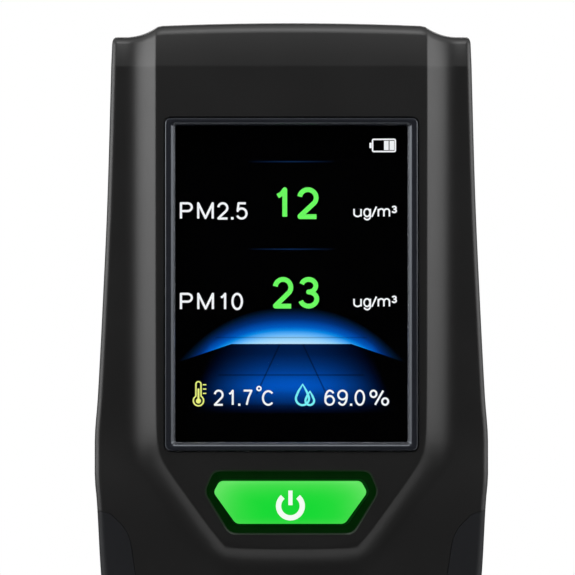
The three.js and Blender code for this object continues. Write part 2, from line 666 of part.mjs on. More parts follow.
place('inlet_grille', inletGrille(), blackShell);
place('sensor_housing', sensorHousing(), sensorBlue);
place('sensor_cover', sensorCover(), sensorBlue);
place('sensor_board', sensorBoard(), boardGreen);
place('laser_holder', laserHolder(), chipBlack);
place('laser_diode', laserDiode(), brass);
place('fan_motor', fanMotor(), steel);
place('fan_axle', fanAxle(), steel);
place('fan_rotor', fanRotor(), chipBlack);
place('climate_board', climateBoard(), boardGreen);
place('climate_sensor', climateSensor(), ledWhite);

place('tripod_insert', tripodInsert(), brass);
place('rating_label', ratingLabel(), labelGrey);
CASE_SCREWS.forEach(([x, z], i) => {
  const seat = (z > HEIGHT / 2 ? SEAT_DEPTH.top : SEAT_DEPTH.base) + GAP;
  place(`case_screw_${i + 1}`, screw(x, z, seat, 2.5, 1.8, 1.3, 16), steel);
});
BOARD_SCREWS.forEach(([x, z], i) => {
  place(`board_screw_${i + 1}`, screw(x, z, boardBack, 1.9, 1.3, 0.8, 4.8), steel);
});

monitor.position.y = KEY_PROUD / 2;   // brings the middle of the depth, key included, onto the origin

export default monitor;
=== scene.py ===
"""The looks of a handheld air quality monitor, built as a Blender add-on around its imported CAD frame."""

import math

import bmesh
import bpy
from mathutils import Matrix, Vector


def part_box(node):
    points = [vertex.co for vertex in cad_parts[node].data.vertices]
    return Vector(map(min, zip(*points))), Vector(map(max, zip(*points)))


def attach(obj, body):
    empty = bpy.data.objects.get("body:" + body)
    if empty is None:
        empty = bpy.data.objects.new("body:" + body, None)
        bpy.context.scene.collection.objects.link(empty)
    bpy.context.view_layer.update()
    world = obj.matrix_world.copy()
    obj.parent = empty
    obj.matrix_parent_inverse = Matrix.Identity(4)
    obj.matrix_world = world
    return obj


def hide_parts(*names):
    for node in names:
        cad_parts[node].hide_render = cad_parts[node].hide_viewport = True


bl_info = {
    "name": "Air Quality Monitor",
    "version": (1, 0, 0),
    "blender": (4, 5, 0),
    "location": "3D View > Sidebar > Monitor",
    "description": "Builds the casing, screen, key and fittings of a handheld air quality monitor",
    "category": "Add Mesh",
}

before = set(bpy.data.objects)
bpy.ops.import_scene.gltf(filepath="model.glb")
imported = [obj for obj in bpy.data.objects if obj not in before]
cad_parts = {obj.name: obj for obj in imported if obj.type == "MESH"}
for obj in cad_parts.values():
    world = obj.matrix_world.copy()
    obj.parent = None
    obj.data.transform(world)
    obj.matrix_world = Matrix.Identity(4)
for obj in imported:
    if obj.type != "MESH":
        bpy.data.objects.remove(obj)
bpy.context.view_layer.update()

MM = 0.001                      # the shape functions below work in millimetres


def node_box(name):
    """Lowest and highest corner of a CAD node, in millimetres."""
    low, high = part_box(name)
    return low / MM, high / MM


def node_middle(name):
    """Middle of a CAD node in the front view."""
    low, high = node_box(name)
    return (low.x + high.x) / 2, (low.z + high.z) / 2


def node_size(name):
    """Width and height of a CAD node in the front view."""
    low, high = node_box(name)
    return high.x - low.x, high.z - low.z


# ---- Places taken from the frame ----

CASE_LOW, CASE_HIGH = node_box("front_case")
HEIGHT = CASE_HIGH.z
PANEL_Y = CASE_LOW.y                       # the flat front panel
BACK_Y = node_box("rear_case")[1].y        # the flat part of the back
GAP = 0.3                                  # clearance between pieces that meet
FAR = 60                                   # further out than any part of the object
THROUGH = (-30, 30)                        # depths in front of and behind the whole casing
PARTING_Y = CASE_HIGH.y + GAP / 2          # plane where the two casing halves meet
WALL = 2.4
LEDGE_Y = PANEL_Y + 2                      # where the screen frame rests
LEDGE_MARGIN, LEDGE_THICK = 1.7, 1.2       # how far the ledge reaches beyond the frame, and its depth
SEAT_PLAY, SEAT_CORNER = 0.2, 1.5          # room around the frame, and the seat's corner radius
VIEW_PLAY = 0.3                            # the opening behind the screen is this much larger all round
POCKET_Y = PANEL_Y + 1.4                   # floor of the pocket around the key

SCREEN_Z = node_middle("screen_bezel")[1]
BEZEL_WIDTH, BEZEL_HEIGHT = node_size("screen_bezel")
VIEW_WIDTH, VIEW_HEIGHT = 42.9, 58.5       # the part of the screen that shows

# ---- The casing's outer form ----

SIDE_STATIONS = [
    (0, 29.4), (14, 30.4), (34, 32.8), (54, 35.2), (68, 36.0), (73, 36.4),
    (79, 36.4), (87, 35.85), (105, 34.9), (124, 34.05), (156, 33.15),
]
BACK_SETBACK_STATIONS = [(0, 3.9), (30, 3.3), (50, 2.3), (72, 0.3), (82, 0), (156, 0)]
FRONT_CORNER_STATIONS = [(0, 5), (34, 4.4), (52, 1.6), (70, 1.2), (156, 1.1)]
COVE_WIDTH_STATIONS = [(0, 4.2), (66, 4.2), (82, 6), (156, 6)]   # the hollow sweep around the panel
COVE_DROP_STATIONS = [(0, 2.2), (66, 2.2), (82, 3), (156, 3)]    # how far the skin lies behind it
BACK_CORNER = 6
TOP_ROUND = 2
BASE_ROUND = 3
SIDE_ROUND_SHARE = 0.35                    # the ends round off less sideways than front to back
LOW_WALL_SHARE = 0.5                       # the side walls are thinner in the lower half

PANEL_HALF = 25.15
PANEL_TURN_Z = 76.8
PANEL_TURN = math.radians(35.8)
PANEL_FOOT_Z = 59.1
PANEL_SOFTNESS = 1.4
CREASE_Z = 148.4
CREASE_LEAN = math.tan(math.radians(8))
EDGE_SOFTNESS = 0.22                       # small radius along the panel's rim and the crease
HANDLE_LEAN = 0.9
CROWN_DROP = 0.55
SHOULDER_START = 24.5
SHOULDER_DROP = 1.95
SHOULDER_WIDTH = 6.2

GRIP_EDGE = [
    (37.5, 66.5), (33.6, 65.6), (30.5, 62), (29.3, 56), (28.2, 48), (26.2, 36), (25, 24), (25, 9),
]
GRIP_THICK = 1.2
GRIP_SEAM = 0.09                           # the line that shows around a grip
FIRST_GROOVE_Z, GROOVE_HEIGHT, GROOVE_DEPTH = 14, 1.4, 0.5


def clamp01(value):
    return min(max(value, 0.0), 1.0)


def line_through(stations):
    """A smooth line through (position, value) stations that never swings past them."""
    last = len(stations) - 1

    def rise(i):
        return (stations[i + 1][1] - stations[i][1]) / (stations[i + 1][0] - stations[i][0])

    slopes = []
    for i in range(last + 1):
        before, after = rise(max(i - 1, 0)), rise(min(i, last - 1))
        slopes.append(2 * before * after / (before + after) if before * after > 0 else 0.0)

    def value_at(position):
        i = 0
        while i < last - 1 and position > stations[i + 1][0]:
            i += 1
        (start, low), (end, high) = stations[i], stations[i + 1]
        span = end - start
        t = clamp01((position - start) / span)
        rest = 1 - t
        level = low * (1 + 2 * t) * rest * rest + high * t * t * (3 - 2 * t)
        return level + span * t * rest * (slopes[i] * rest - slopes[i + 1] * t)

    return value_at


side_at = line_through(SIDE_STATIONS)
setback_at = line_through(BACK_SETBACK_STATIONS)
front_corner_at = line_through(FRONT_CORNER_STATIONS)
cove_width_at = line_through(COVE_WIDTH_STATIONS)
cove_drop_at = line_through(COVE_DROP_STATIONS)


def soft_max(a, b, softness):
    return (a + b + math.hypot(a - b, softness)) / 2


def panel_distance(x, z):
    """Distance of a front-view point from the raised panel, negative inside its outline."""
    side = abs(x) - PANEL_HALF
    slant = (side + (PANEL_TURN_Z - z) * math.tan(PANEL_TURN)) * math.cos(PANEL_TURN)
    return soft_max(soft_max(side, slant, PANEL_SOFTNESS), PANEL_FOOT_Z - z, PANEL_SOFTNESS)


def panel_half_at(z):
    """Half width of the raised panel at a height, found by halving."""
    level = max(z, PANEL_FOOT_Z + PANEL_SOFTNESS)
    inside, outside = 0.0, PANEL_HALF + 1
    for _ in range(30):
        middle = (inside + outside) / 2
        if panel_distance(middle, level) < 0:
            inside = middle
        else:
            outside = middle
    return inside


def front_at(x, z):
    """The front skin at a front-view point: flat panel, hollow sweep, then flank or handle."""
    sweep = 1 - clamp01(soft_max(panel_distance(x, z), 0, EDGE_SOFTNESS) / cove_width_at(z))
    lean = soft_max(z - CREASE_Z, 0, EDGE_SOFTNESS) * CREASE_LEAN
    drift = HANDLE_LEAN * clamp01(1 - z / PANEL_FOOT_Z) ** 2
    return PANEL_Y + cove_drop_at(z) * (1 - sweep * sweep) + lean + drift


def top_drop_at(x):
    """How far the top edge lies below the crown."""
    across = abs(x)
    crown = CROWN_DROP * min(across / PANEL_HALF, 1) ** 2
    rest = 1 - clamp01((across - SHOULDER_START) / SHOULDER_WIDTH)
    return crown + SHOULDER_DROP * (1 - rest * rest)


def bend(x, z, radius, start, end, steps=24, tall=None):
    """Points of an arc; angles in degrees from the right, turning upwards; tall makes it an oval."""
    angles = [math.radians(start + (end - start) * i / steps) for i in range(steps + 1)]
    return [(x + radius * math.cos(a), z + (tall or radius) * math.sin(a)) for a in angles]


def half_section(z, wall, trim):
    """Half of one level section, from the middle of the front to the middle of the back."""
    side = side_at(z) - wall * (1 if z > HEIGHT / 2 else LOW_WALL_SHARE) - trim * SIDE_ROUND_SHARE
    inset = wall + trim
    back = BACK_Y - setback_at(z) - inset
    corner = max(front_corner_at(z) - inset, 0.6)
    back_corner = max(BACK_CORNER - inset, 1.5)
    panel = panel_half_at(z)
    limit = side - corner
    turn = math.cos(PANEL_TURN) if z < PANEL_TURN_Z else 1
    reach = min(cove_width_at(z) / turn, limit - 0.4 - panel)
    rim = [-0.4, -0.2, -0.1, 0, 0.1, 0.2, 0.4, 0.7]
    columns = [panel * share for share in (0, 0.2, 0.4, 0.6, 0.8, 0.95)]
    columns += [panel + step for step in rim]
    columns += [panel + 1 + (reach - 1) * i / 9 for i in range(10)]
    columns += [panel + reach + (limit - panel - reach) * share for share in (0.33, 0.66)]
    points = [(x, front_at(x, z) + inset) for x in columns]
    edge = front_at(limit, z) + inset
    points += bend(limit, edge + corner, corner, -90, 0, 7)
    points += bend(side - back_corner, back - back_corner, back_corner, 0, 90, 8)
    points += [((side - back_corner) * share, back) for share in (0.85, 0.65, 0.4, 0.2, 0)]
    return points


def ring_at(z, wall, trim):
    """One closed section of the form, lowered where the top edge falls away."""
    half = half_section(z, wall, trim)
    outline = half + [(-x, y) for x, y in reversed(half[1:-1])]
    share = clamp01((z - CREASE_Z) / (HEIGHT - CREASE_Z))
    return [(x, y, z - top_drop_at(x) * share) for x, y in outline]


def form_levels(inset, steps):
    """(height, trim) pairs that round both ends and crowd together at the panel's foot and the crease."""
    low, high = inset, HEIGHT - inset
    base, top = max(BASE_ROUND - inset, 0.6), max(TOP_ROUND - inset, 0.6)
    levels = []
    for i in range(steps, -1, -1):
        angle = i / steps * math.pi / 2
        levels.append((low + base * (1 - math.sin(angle)), base * (1 - math.cos(angle))))
    plain = [low + base + 2 + i * 2.0 for i in range(70)]
    close = [-0.8, -0.5, -0.3, -0.15, 0, 0.15, 0.3, 0.5, 0.8, 1.2]
    crowded = [centre + step for centre in (PANEL_FOOT_Z, CREASE_Z) for step in close]
    far = [z for z in plain if z < high - top - 0.6 and min(abs(z - c) for c in crowded) > 0.5]
    levels += [(z, 0) for z in sorted(far + crowded)]
    for i in range(steps + 1):
        angle = i / steps * math.pi / 2
        levels.append((high - top * (1 - math.sin(angle)), top * (1 - math.cos(angle))))
    return levels


# ---- Mesh tools ----

def new_object(name, mesh):
    piece = bpy.data.objects.new(name, mesh)
    bpy.context.scene.collection.objects.link(piece)
    return piece


def mesh_from(name, points, faces):
    """An object from points in millimetres, its faces turned outwards."""
    mesh = bpy.data.meshes.new(name)
    mesh.from_pydata([tuple(c * MM for c in p) for p in points], [], faces)
    shape = bmesh.new()
    shape.from_mesh(mesh)
    bmesh.ops.remove_doubles(shape, verts=shape.verts, dist=1e-7)
    bmesh.ops.recalc_face_normals(shape, faces=shape.faces)
    shape.to_mesh(mesh)
    shape.free()
    return new_object(name, mesh)


def zip_across(ring, offset):
    """Triangles that close a ring by joining its front and back points in order of x."""
    right = max(range(len(ring)), key=lambda i: (ring[i][0], -ring[i][1]))
    left = min(range(len(ring)), key=lambda i: (ring[i][0], ring[i][1]))
    front = list(range(left - len(ring), right + 1))
    back = list(range(left, right - 1, -1))
    faces, i, j = [], 0, 0
    while i < len(front) - 1 or j < len(back) - 1:
        step_front = j == len(back) - 1 or (
            i < len(front) - 1 and ring[front[i + 1]][0] < ring[back[j + 1]][0])
        third = front[i + 1] if step_front else back[j + 1]
        triangle = (front[i], third, back[j])
        if len({index % len(ring) for index in triangle}) == 3:
            faces.append(tuple(offset + index % len(ring) for index in triangle))
        i, j = (i + 1, j) if step_front else (i, j + 1)
    return faces


def loft(name, rings, closed=False, zip_end=False):
    """A closed skin over rings of points; a closed loft joins its last ring to its first."""
    count = len(rings[0])
    points = [p for ring in rings for p in ring]
    spans = len(rings) if closed else len(rings) - 1
    faces = []
    for r in range(spans):
        start, after = r * count, (r + 1) % len(rings) * count
        for i in range(count):
            k = (i + 1) % count
            faces.append((start + i, start + k, after + k, after + i))
    if not closed:
        faces.append(tuple(range(count)))
        last = (len(rings) - 1) * count
        if zip_end:
            faces += zip_across(rings[-1], last)
        else:
            faces.append(tuple(last + i for i in range(count)))
    return mesh_from(name, points, faces)


def rounded_polygon(corners, radius, steps=6):
    """Points along a closed outline through corners, each corner rounded by a soft curve."""
    points = []
    for i, corner in enumerate(corners):
        corner = Vector(corner)
        before, after = Vector(corners[i - 1]), Vector(corners[(i + 1) % len(corners)])
        start = corner + (before - corner).normalized() * radius
        end = corner + (after - corner).normalized() * radius
        for k in range(steps + 1):
            t = k / steps
            points.append(start * (1 - t) ** 2 + corner * 2 * t * (1 - t) + end * t ** 2)
    return [(p.x, p.y) for p in points]


def rectangle(width, height, z, radius, steps=6):
    w, h = width / 2, height / 2
    return rounded_polygon([(-w, z - h), (w, z - h), (w, z + h), (-w, z + h)], radius, steps)


def key_outline(margin, radius=0.9, shift=0.0):
    """Outline of the power key, grown by a margin."""
    slant = margin * 0.75
    foot, side, top = 63.9 - margin, 69.7, 71.8 + margin
    corners = [
        (-10.05 - slant, foot), (10.05 + slant, foot), (14.2 + margin, side),
        (13.05 + slant, top), (-13.05 - slant, top), (-14.2 - margin, side),
    ]
    return rounded_polygon([(x + shift, z) for x, z in corners], radius)


def at_depth(outline, y):
    return [(x, y, z) for x, z in outline]


def prism(outline, y0, y1, name="cutter"):
    return loft(name, [at_depth(outline, y0), at_depth(outline, y1)])


def block(x0, x1, y0, y1, z0, z1, name="cutter"):
    return prism([(x0, z0), (x1, z0), (x1, z1), (x0, z1)], y0, y1, name)


def circle(x, z, radius, sides=48):
    angles = [i / sides * 2 * math.pi for i in range(sides)]
    return [(x + radius * math.cos(a), z + radius * math.sin(a)) for a in angles]


def slot_outline(x, z, half, radius, steps=8):
    """A slot's outline with round ends, their centres at half to each side of its middle."""
    ends = ((1, -90), (-1, 90))
    return [p for side, start in ends for p in bend(x + side * half, z, radius, start, start + 180, steps)]


def drum(x, z, radius, y0, y1, sides=48):
    return prism(circle(x, z, radius, sides), y0, y1)


def baked(piece):
    """Turns a piece and its modifiers into a plain mesh."""
    graph = bpy.context.evaluated_depsgraph_get()
    mesh = bpy.data.meshes.new_from_object(piece.evaluated_get(graph))
    piece.modifiers.clear()
    piece.data = mesh
    return piece


def combine(piece, others, operation="DIFFERENCE"):
    """Cuts other closed meshes from a piece, or joins or keeps what they share, and removes them."""
    for other in others:
        modifier = piece.modifiers.new("shape", "BOOLEAN")
        modifier.operation = operation
        modifier.solver = "MANIFOLD"
        modifier.object = other
        baked(piece)
        bpy.data.objects.remove(other)
    return piece


def smooth(piece, degrees=32):
    """Smooth shading that stays crisp at edges sharper than an angle."""
    piece.data.polygons.foreach_set("use_smooth", [True] * len(piece.data.polygons))
    piece.data.set_sharp_from_angle(angle=math.radians(degrees))
    return piece


def fitted(piece, body, slot, material, *nodes):
    """Gives a finished piece its material and body, and hides the CAD nodes that it stands for; its slot is
    not used.
    """
    piece.data.materials.clear()
    piece.data.materials.append(material)
    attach(piece, body)
    if nodes:
        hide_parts(*nodes)
    return piece


# ---- Shader tools ----

def plug(tree, slot, value):
    """Links a socket, or sets a plain value."""
    if isinstance(value, Value):
        tree.links.new(value.socket, slot)
    else:
        slot.default_value = value


class Value:
    """A shader socket that can be used in plain arithmetic: each step adds one Math node."""

    def __init__(self, tree, socket):
        self.tree, self.socket = tree, socket

    def maths(self, operation, *values, clamp=False):
        node = self.tree.nodes.new("ShaderNodeMath")
        node.operation = operation
        node.use_clamp = clamp
        for slot, value in zip(node.inputs, values):
            plug(self.tree, slot, value)
        return Value(self.tree, node.outputs[0])

    def step(operation, swapped=False):
        """A method that does one operation on this value and another."""
        def method(self, other):
            return self.maths(operation, *((other, self) if swapped else (self, other)))
        return method

    __add__ = __radd__ = step("ADD")
    __mul__ = __rmul__ = step("MULTIPLY")
    __sub__, __rsub__ = step("SUBTRACT"), step("SUBTRACT", True)
    __truediv__, __pow__ = step("DIVIDE"), step("POWER")
    least, most, above = step("MINIMUM"), step("MAXIMUM"), step("GREATER_THAN")

    def __abs__(self):
        return self.maths("ABSOLUTE", self)

    def within(self):
        """The value held between 0 and 1."""
        return self.maths("ADD", self, 0.0, clamp=True)

    def wrapped(self, period):
        """Distance to the nearest multiple of a period."""
        return self.maths("PINGPONG", self, period / 2)


class Finish:
    """One material: a Principled shader and the nodes that vary it."""

    def __init__(self, name, **sockets):
        self.material = bpy.data.materials.new(name)
        self.material.use_nodes = True
        self.tree = self.material.node_tree
        self.shader = self.tree.nodes["Principled BSDF"]
        self.set(**sockets)
        where = self.node("ShaderNodeTexCoord", output="Object")
        millimetres = {0: where, "Scale": 1 / MM}
        self.place = self.node("ShaderNodeVectorMath", {"operation": "SCALE"}, millimetres, "Vector")

    def set(self, **sockets):
        """Sets the shader's sockets; an underscore stands for a space."""
        for name, value in sockets.items():
            plug(self.tree, self.shader.inputs[name.replace("_", " ")], value)
        return self

    def node(self, kind, settings=None, sockets=None, output=0):
        """Adds a node: its settings first, then its sockets' values or links; gives one output."""
        node = self.tree.nodes.new(kind)
        for name, value in (settings or {}).items():
            if name == "stops":
                set_stops(node.color_ramp, value)
            else:
                setattr(node, name, value)
        for name, value in (sockets or {}).items():
            plug(self.tree, node.inputs[name], value)
        return Value(self.tree, node.outputs[output])

    def axes(self):
        """The point's x, y and z in millimetres."""
        split = self.node("ShaderNodeSeparateXYZ", None, {0: self.place}, "X")
        outputs = split.socket.node.outputs
        return [Value(self.tree, outputs[name]) for name in "XYZ"]

    def noise(self, size, detail=2.0, roughness=0.5):
        """Smooth random values with grains of a size in millimetres."""
        values = {"Vector": self.place, "Scale": 1 / size, "Detail": detail, "Roughness": roughness}
        return self.node("ShaderNodeTexNoise", None, values, "Fac")

    def cells(self, size):
        values = {"Vector": self.place, "Scale": 1 / size}
        return self.node("ShaderNodeTexVoronoi", None, values, "Distance")

    def ramp(self, value, stops):
        return self.node("ShaderNodeValToRGB", {"stops": stops}, {"Fac": value}, "Color")

    def blend(self, factor, first, second, kind="MIX"):
        """Mixes two colours; a colour is a socket or an (r, g, b) in linear light."""
        settings = {"data_type": "RGBA", "blend_type": kind}
        return self.node("ShaderNodeMix", settings, {0: factor, 6: rgba(first), 7: rgba(second)}, 2)

    def toned(self, colour, shade):
        """A colour made darker or lighter by a share that varies over the surface."""
        grey = self.node("ShaderNodeCombineColor", None, {0: shade, 1: shade, 2: shade})
        return self.blend(1.0, colour, grey, "MULTIPLY")

    def grain(self, height, depth):
        """Gives the surface relief: depth in millimetres where the height goes from 0 to 1."""
        values = {"Height": height, "Distance": depth * MM, "Strength": 1.0}
        return self.set(Normal=self.node("ShaderNodeBump", None, values, "Normal"))


def set_stops(ramp, stops):
    while len(ramp.elements) > 1:
        ramp.elements.remove(ramp.elements[-1])
    ramp.elements[0].position = stops[0][0]
    ramp.elements[0].color = rgba(stops[0][1])
    for position, colour in stops[1:]:
        ramp.elements.new(position).color = rgba(colour)


def rgba(colour):
    """A colour socket as it is, a grey level or (r, g, b) as four numbers."""
    if isinstance(colour, Value):
        return colour
    if isinstance(colour, (int, float)):
        return (colour, colour, colour, 1.0)
    return (*tuple(colour)[:3], 1.0)


def linear(red, green, blue):
    """Linear light from a display colour given as 0 to 255."""
    def channel(value):
        share = value / 255
        return share / 12.92 if share <= 0.04045 else ((share + 0.055) / 1.055) ** 2.4
    return (channel(red), channel(green), channel(blue))


def black_plastic(name, colour, rough, grain_size, grain_depth, specular):
    """Moulded plastic: fine spark-eroded grain, faint mottling and a slightly uneven polish."""
    look = Finish(name, Specular_IOR_Level=specular)
    patches = look.noise(9, 3)
    fine = look.noise(grain_size, 3, 0.6)
    pits = look.cells(grain_size * 1.7)
    look.set(
        Base_Color=look.toned(colour, 0.86 + 0.28 * patches),
        Roughness=rough - 0.05 + 0.07 * fine + 0.05 * patches,
    )
    look.grain(0.7 * fine + 0.3 * pits, grain_depth)
    return look.material


def varied(name, colour, rough, metal=0.0, size=0.6, depth=0.01, spread=0.25, **sockets):
    """A plain finish with small changes of tone, polish and relief."""
    look = Finish(name, Metallic=metal, **sockets)
    patches = look.noise(size * 8, 3)
    fine = look.noise(size, 3, 0.6)
    look.set(
        Base_Color=look.toned(colour, 1 - spread / 2 + spread * patches),
        Roughness=rough - 0.06 + 0.12 * fine,
    )
    look.grain(fine, depth)
    return look.material


def brushed_metal(name, colour, rough):
    """Sheet metal with fine lines drawn along its length."""
    look = Finish(name, Metallic=1.0)
    stretched = look.node("ShaderNodeMapping", None, {"Vector": look.place, "Scale": (1, 1, 0.04)}, "Vector")
    values = {"Vector": stretched, "Scale": 1 / 0.12, "Detail": 3.0}
    lines = look.node("ShaderNodeTexNoise", None, values, "Fac")
    stains = look.noise(4, 3)
    look.set(
        Base_Color=look.blend(0.3 * stains, colour, tuple(0.6 * c for c in colour)),
        Roughness=rough + 0.15 * lines + 0.1 * stains,
    )
    look.grain(lines, 0.003)
    return look.material


def circuit_board(name, colour):
    """Solder mask over copper tracks and round pads."""
    look = Finish(name, Coat_Weight=0.3, Coat_Roughness=0.15)
    x, _, z = look.axes()
    bend = look.noise(7, 1)
    tracks = (x + 6 * bend).wrapped(2.2).above(0.9).most((z + 5 * bend).wrapped(3.4).above(1.5))
    pads = 1 - look.cells(2.6).above(0.22)
    bare = tuple(min(1, 2.2 * c + 0.01) for c in colour)
    look.set(
        Base_Color=look.blend(pads, look.blend(tracks, colour, bare), (0.75, 0.72, 0.62)),
        Metallic=0.9 * pads,
        Roughness=0.4 - 0.15 * pads,
    )
    look.grain(tracks.most(pads), 0.035)
    return look.material


def lit(name, colour, strength):
    """A surface that gives its own light, a little uneven as lamps behind a film are."""
    look = Finish(name, Base_Color=rgba(0.01), Roughness=0.35, Emission_Strength=strength)
    look.set(Emission_Color=look.blend(look.noise(0.5, 2), colour, tuple(0.92 * c for c in colour)))
    return look.material


SKY_STOPS = [                   # display colours from the top of the arch down to the horizon
    (0.0, (0, 0, 0)), (0.09, (0, 17, 37)), (0.19, (2, 29, 76)), (0.31, (0, 45, 113)), (0.41, (1, 68, 159)),
    (0.53, (0, 93, 196)), (0.63, (10, 139, 230)), (0.73, (93, 179, 252)), (0.85, (150, 213, 255)),
    (1.0, (188, 228, 255)),
]
FLOOR_STOPS = [                 # brightness from the horizon down to the foot of the picture
    (0.0, 0.16), (0.03, 0.13), (0.09, 0.12), (0.154, 0.15), (0.23, 0.24), (0.31, 0.36), (0.385, 0.51),
    (0.46, 0.72), (0.54, 0.93), (0.6, 1.0), (0.66, 0.88), (0.72, 0.58), (0.77, 0.45), (0.83, 0.3),
    (0.885, 0.09), (0.945, 0.03), (1.0, 0.0),
]
HORIZON = -11.05                # level of the horizon
HORIZON_HALF = 11.1             # half the width of its flat part
HORIZON_FALL = 0.34             # slope beyond
ARCH_TOP, ARCH_HEIGHT = -4.3, 6.75


def screen_glow(name):
    """The lit panel: near black, with a bright horizon under a dark arch and a dim grid floor."""
    look = Finish(name, Base_Color=(0.001, 0.001, 0.0015, 1), Roughness=0.5, Specular_IOR_Level=0.0,
                  Emission_Strength=1.0)
    u, _, z = look.axes()
    v = z - SCREEN_Z
    across = abs(u)

    def line(distance, half):
        """1 on a line, falling to 0 at half its width."""
        return (1 - abs(distance) / half).within()

    # The sky brightens down from the arch, whose top falls away to both sides, and dims at its ends.
    edge = HORIZON - HORIZON_FALL * (across - HORIZON_HALF).most(0.0)
    rise = ((ARCH_TOP - v - 0.0071 * across ** 2.38) / ARCH_HEIGHT).within()
    dimming = 1 - 0.7 * ((across - 15) / 5.5).within()
    band_line = 1 - 0.45 * line(v + 9.86, 0.2) * (1 - across.above(14))
    sky = look.ramp((rise * dimming).within(), [(place, linear(*colour)) for place, colour in SKY_STOPS])
    sky_mask = v.above(edge) * band_line

    # The ground is a blue glow, crossed by two lanes that run to the horizon and by one level line.
    down = ((-11.0 - v) / 13).within()
    reach = 1 - (across / (15.5 - 0.4 * (v + 13))).within() ** 2.2
    depth = look.ramp(down, FLOOR_STOPS)
    lanes = 1 - 0.75 * line(across - 3.4 - 0.47 * (-13.8 - v), 0.24) * v.above(-20.3)
    cross_line = 1 - 0.7 * line(v + 16.8, 0.22) * (1 - across.above(13.5))
    floor_light = reach ** 2.1 * lanes * cross_line * (1 - v.above(edge))
    ground = look.blend(floor_light, 0.0, look.blend(1.0, depth, linear(1, 84, 192), "MULTIPLY"))

    # Two hairlines stand over the readings, brightest in their middle.
    rules = line(v - 22.7, 0.16) + line(v - 6.5, 0.16)
    rules = rules * (1 - across / 8.2).within()
    hairlines = look.blend(rules, 0.0, linear(14, 44, 84))
    glow = look.blend(1.0, look.blend(sky_mask, 0.0, sky), ground, "ADD")
    look.set(Emission_Color=look.blend(1.0, glow, hairlines, "ADD"))
    return look.material


# ---- Geometry Nodes ----

def node_tree(name, inputs):
    """A Geometry Nodes tree with named inputs, and its group input and output nodes."""
    tree = bpy.data.node_groups.new(name, "GeometryNodeTree")
    tree.interface.new_socket("Geometry", in_out="INPUT", socket_type="NodeSocketGeometry")
    for label, kind, default in inputs:
        socket = tree.interface.new_socket(label, in_out="INPUT", socket_type=kind)
        if default is not None:
            socket.default_value = default
    tree.interface.new_socket("Geometry", in_out="OUTPUT", socket_type="NodeSocketGeometry")
    return tree, tree.nodes.new("NodeGroupInput"), tree.nodes.new("NodeGroupOutput")


def wire(tree, *pairs):
    for source, target in pairs:
        tree.links.new(source, target)


def row_tree():
    """Copies of one shape in a straight row, each at the same step from the last."""
    tree, given, result = node_tree("Row of Copies", [
        ("Shape", "NodeSocketObject", None), ("Count", "NodeSocketInt", 5),
        ("Start", "NodeSocketVector", (0, 0, 0)), ("Step", "NodeSocketVector", (0, 0, 0.002)),
        ("Finish", "NodeSocketMaterial", None),
    ])
    line = tree.nodes.new("GeometryNodeMeshLine")
    line.mode = "OFFSET"
    wire(tree, *((given.outputs[label], line.inputs[slot]) for label, slot in
                 (("Count", "Count"), ("Start", "Start Location"), ("Step", "Offset"))))
    finish_copies(tree, given, result, line.outputs["Mesh"])
    return tree


def scatter_tree():
    """Copies of one shape on given points, each turned about Y by its own fixed random angle."""
    tree, given, result = node_tree("Copies at Points", [
        ("Shape", "NodeSocketObject", None), ("Turn", "NodeSocketFloat", math.pi),
        ("Seed", "NodeSocketInt", 7), ("Finish", "NodeSocketMaterial", None),
    ])
    chance = tree.nodes.new("FunctionNodeRandomValue")
    chance.data_type = "FLOAT"
    turn = tree.nodes.new("ShaderNodeCombineXYZ")
    floats = [socket for socket in chance.inputs if socket.type == "VALUE"]
    angle = next(socket for socket in chance.outputs if socket.type == "VALUE")
    wire(tree, (given.outputs["Turn"], floats[1]), (given.outputs["Seed"], chance.inputs["Seed"]),
         (angle, turn.inputs["Y"]))
    finish_copies(tree, given, result, given.outputs["Geometry"], turn.outputs[0])
    return tree


def finish_copies(tree, given, result, points, turn=None):
    """The end of every tree here: place the copies, make them real, give them their material."""
    shape, copies, real, paint = (tree.nodes.new("GeometryNode" + kind) for kind in (
        "ObjectInfo", "InstanceOnPoints", "RealizeInstances", "SetMaterial"))
    wire(tree, (given.outputs["Shape"], shape.inputs["Object"]), (points, copies.inputs["Points"]),
         (shape.outputs["Geometry"], copies.inputs["Instance"]))
    if turn is not None:
        wire(tree, (turn, copies.inputs["Rotation"]))
    wire(tree, (copies.outputs["Instances"], real.inputs["Geometry"]),
         (real.outputs["Geometry"], paint.inputs["Geometry"]),
         (given.outputs["Finish"], paint.inputs["Material"]),
         (paint.outputs["Geometry"], result.inputs[0]))


def grown(name, tree, prototype, values, points=()):
    """Runs a tree on points in millimetres and gives the result as a plain mesh object."""
    mesh = bpy.data.meshes.new(name)
    mesh.from_pydata([tuple(c * MM for c in p) for p in points], [], [])
    piece = new_object(name, mesh)
    modifier = piece.modifiers.new("copies", "NODES")
    modifier.node_group = tree
    keys = {item.name: item.identifier for item in tree.interface.items_tree if item.in_out == "INPUT"}
    modifier[keys["Shape"]] = prototype
    for label, value in values.items():
        modifier[keys[label]] = value
    baked(piece)
    bpy.data.objects.remove(prototype)
    return piece


def row(name, prototype, count, start, step):
    values = {"Count": count, "Start": tuple(c * MM for c in start), "Step": tuple(c * MM for c in step)}
    return grown(name, row_tree(), prototype, values)


# ---- Settings ----

def colour_setting(name, description, default):
    return bpy.props.FloatVectorProperty(
        name=name, description=description, default=default, subtype="COLOR", size=3, min=0, max=1)


def length_setting(name, description, millimetres):
    return bpy.props.FloatProperty(
        name=name, description=description, default=millimetres * MM, unit="LENGTH", precision=5)


def power_setting(name, description, default):
    return bpy.props.FloatProperty(name=name, description=description, default=default, min=0, unit="POWER")


def count_setting(name, description, default, least=1):
    return bpy.props.IntProperty(name=name, description=description, default=default, min=least)


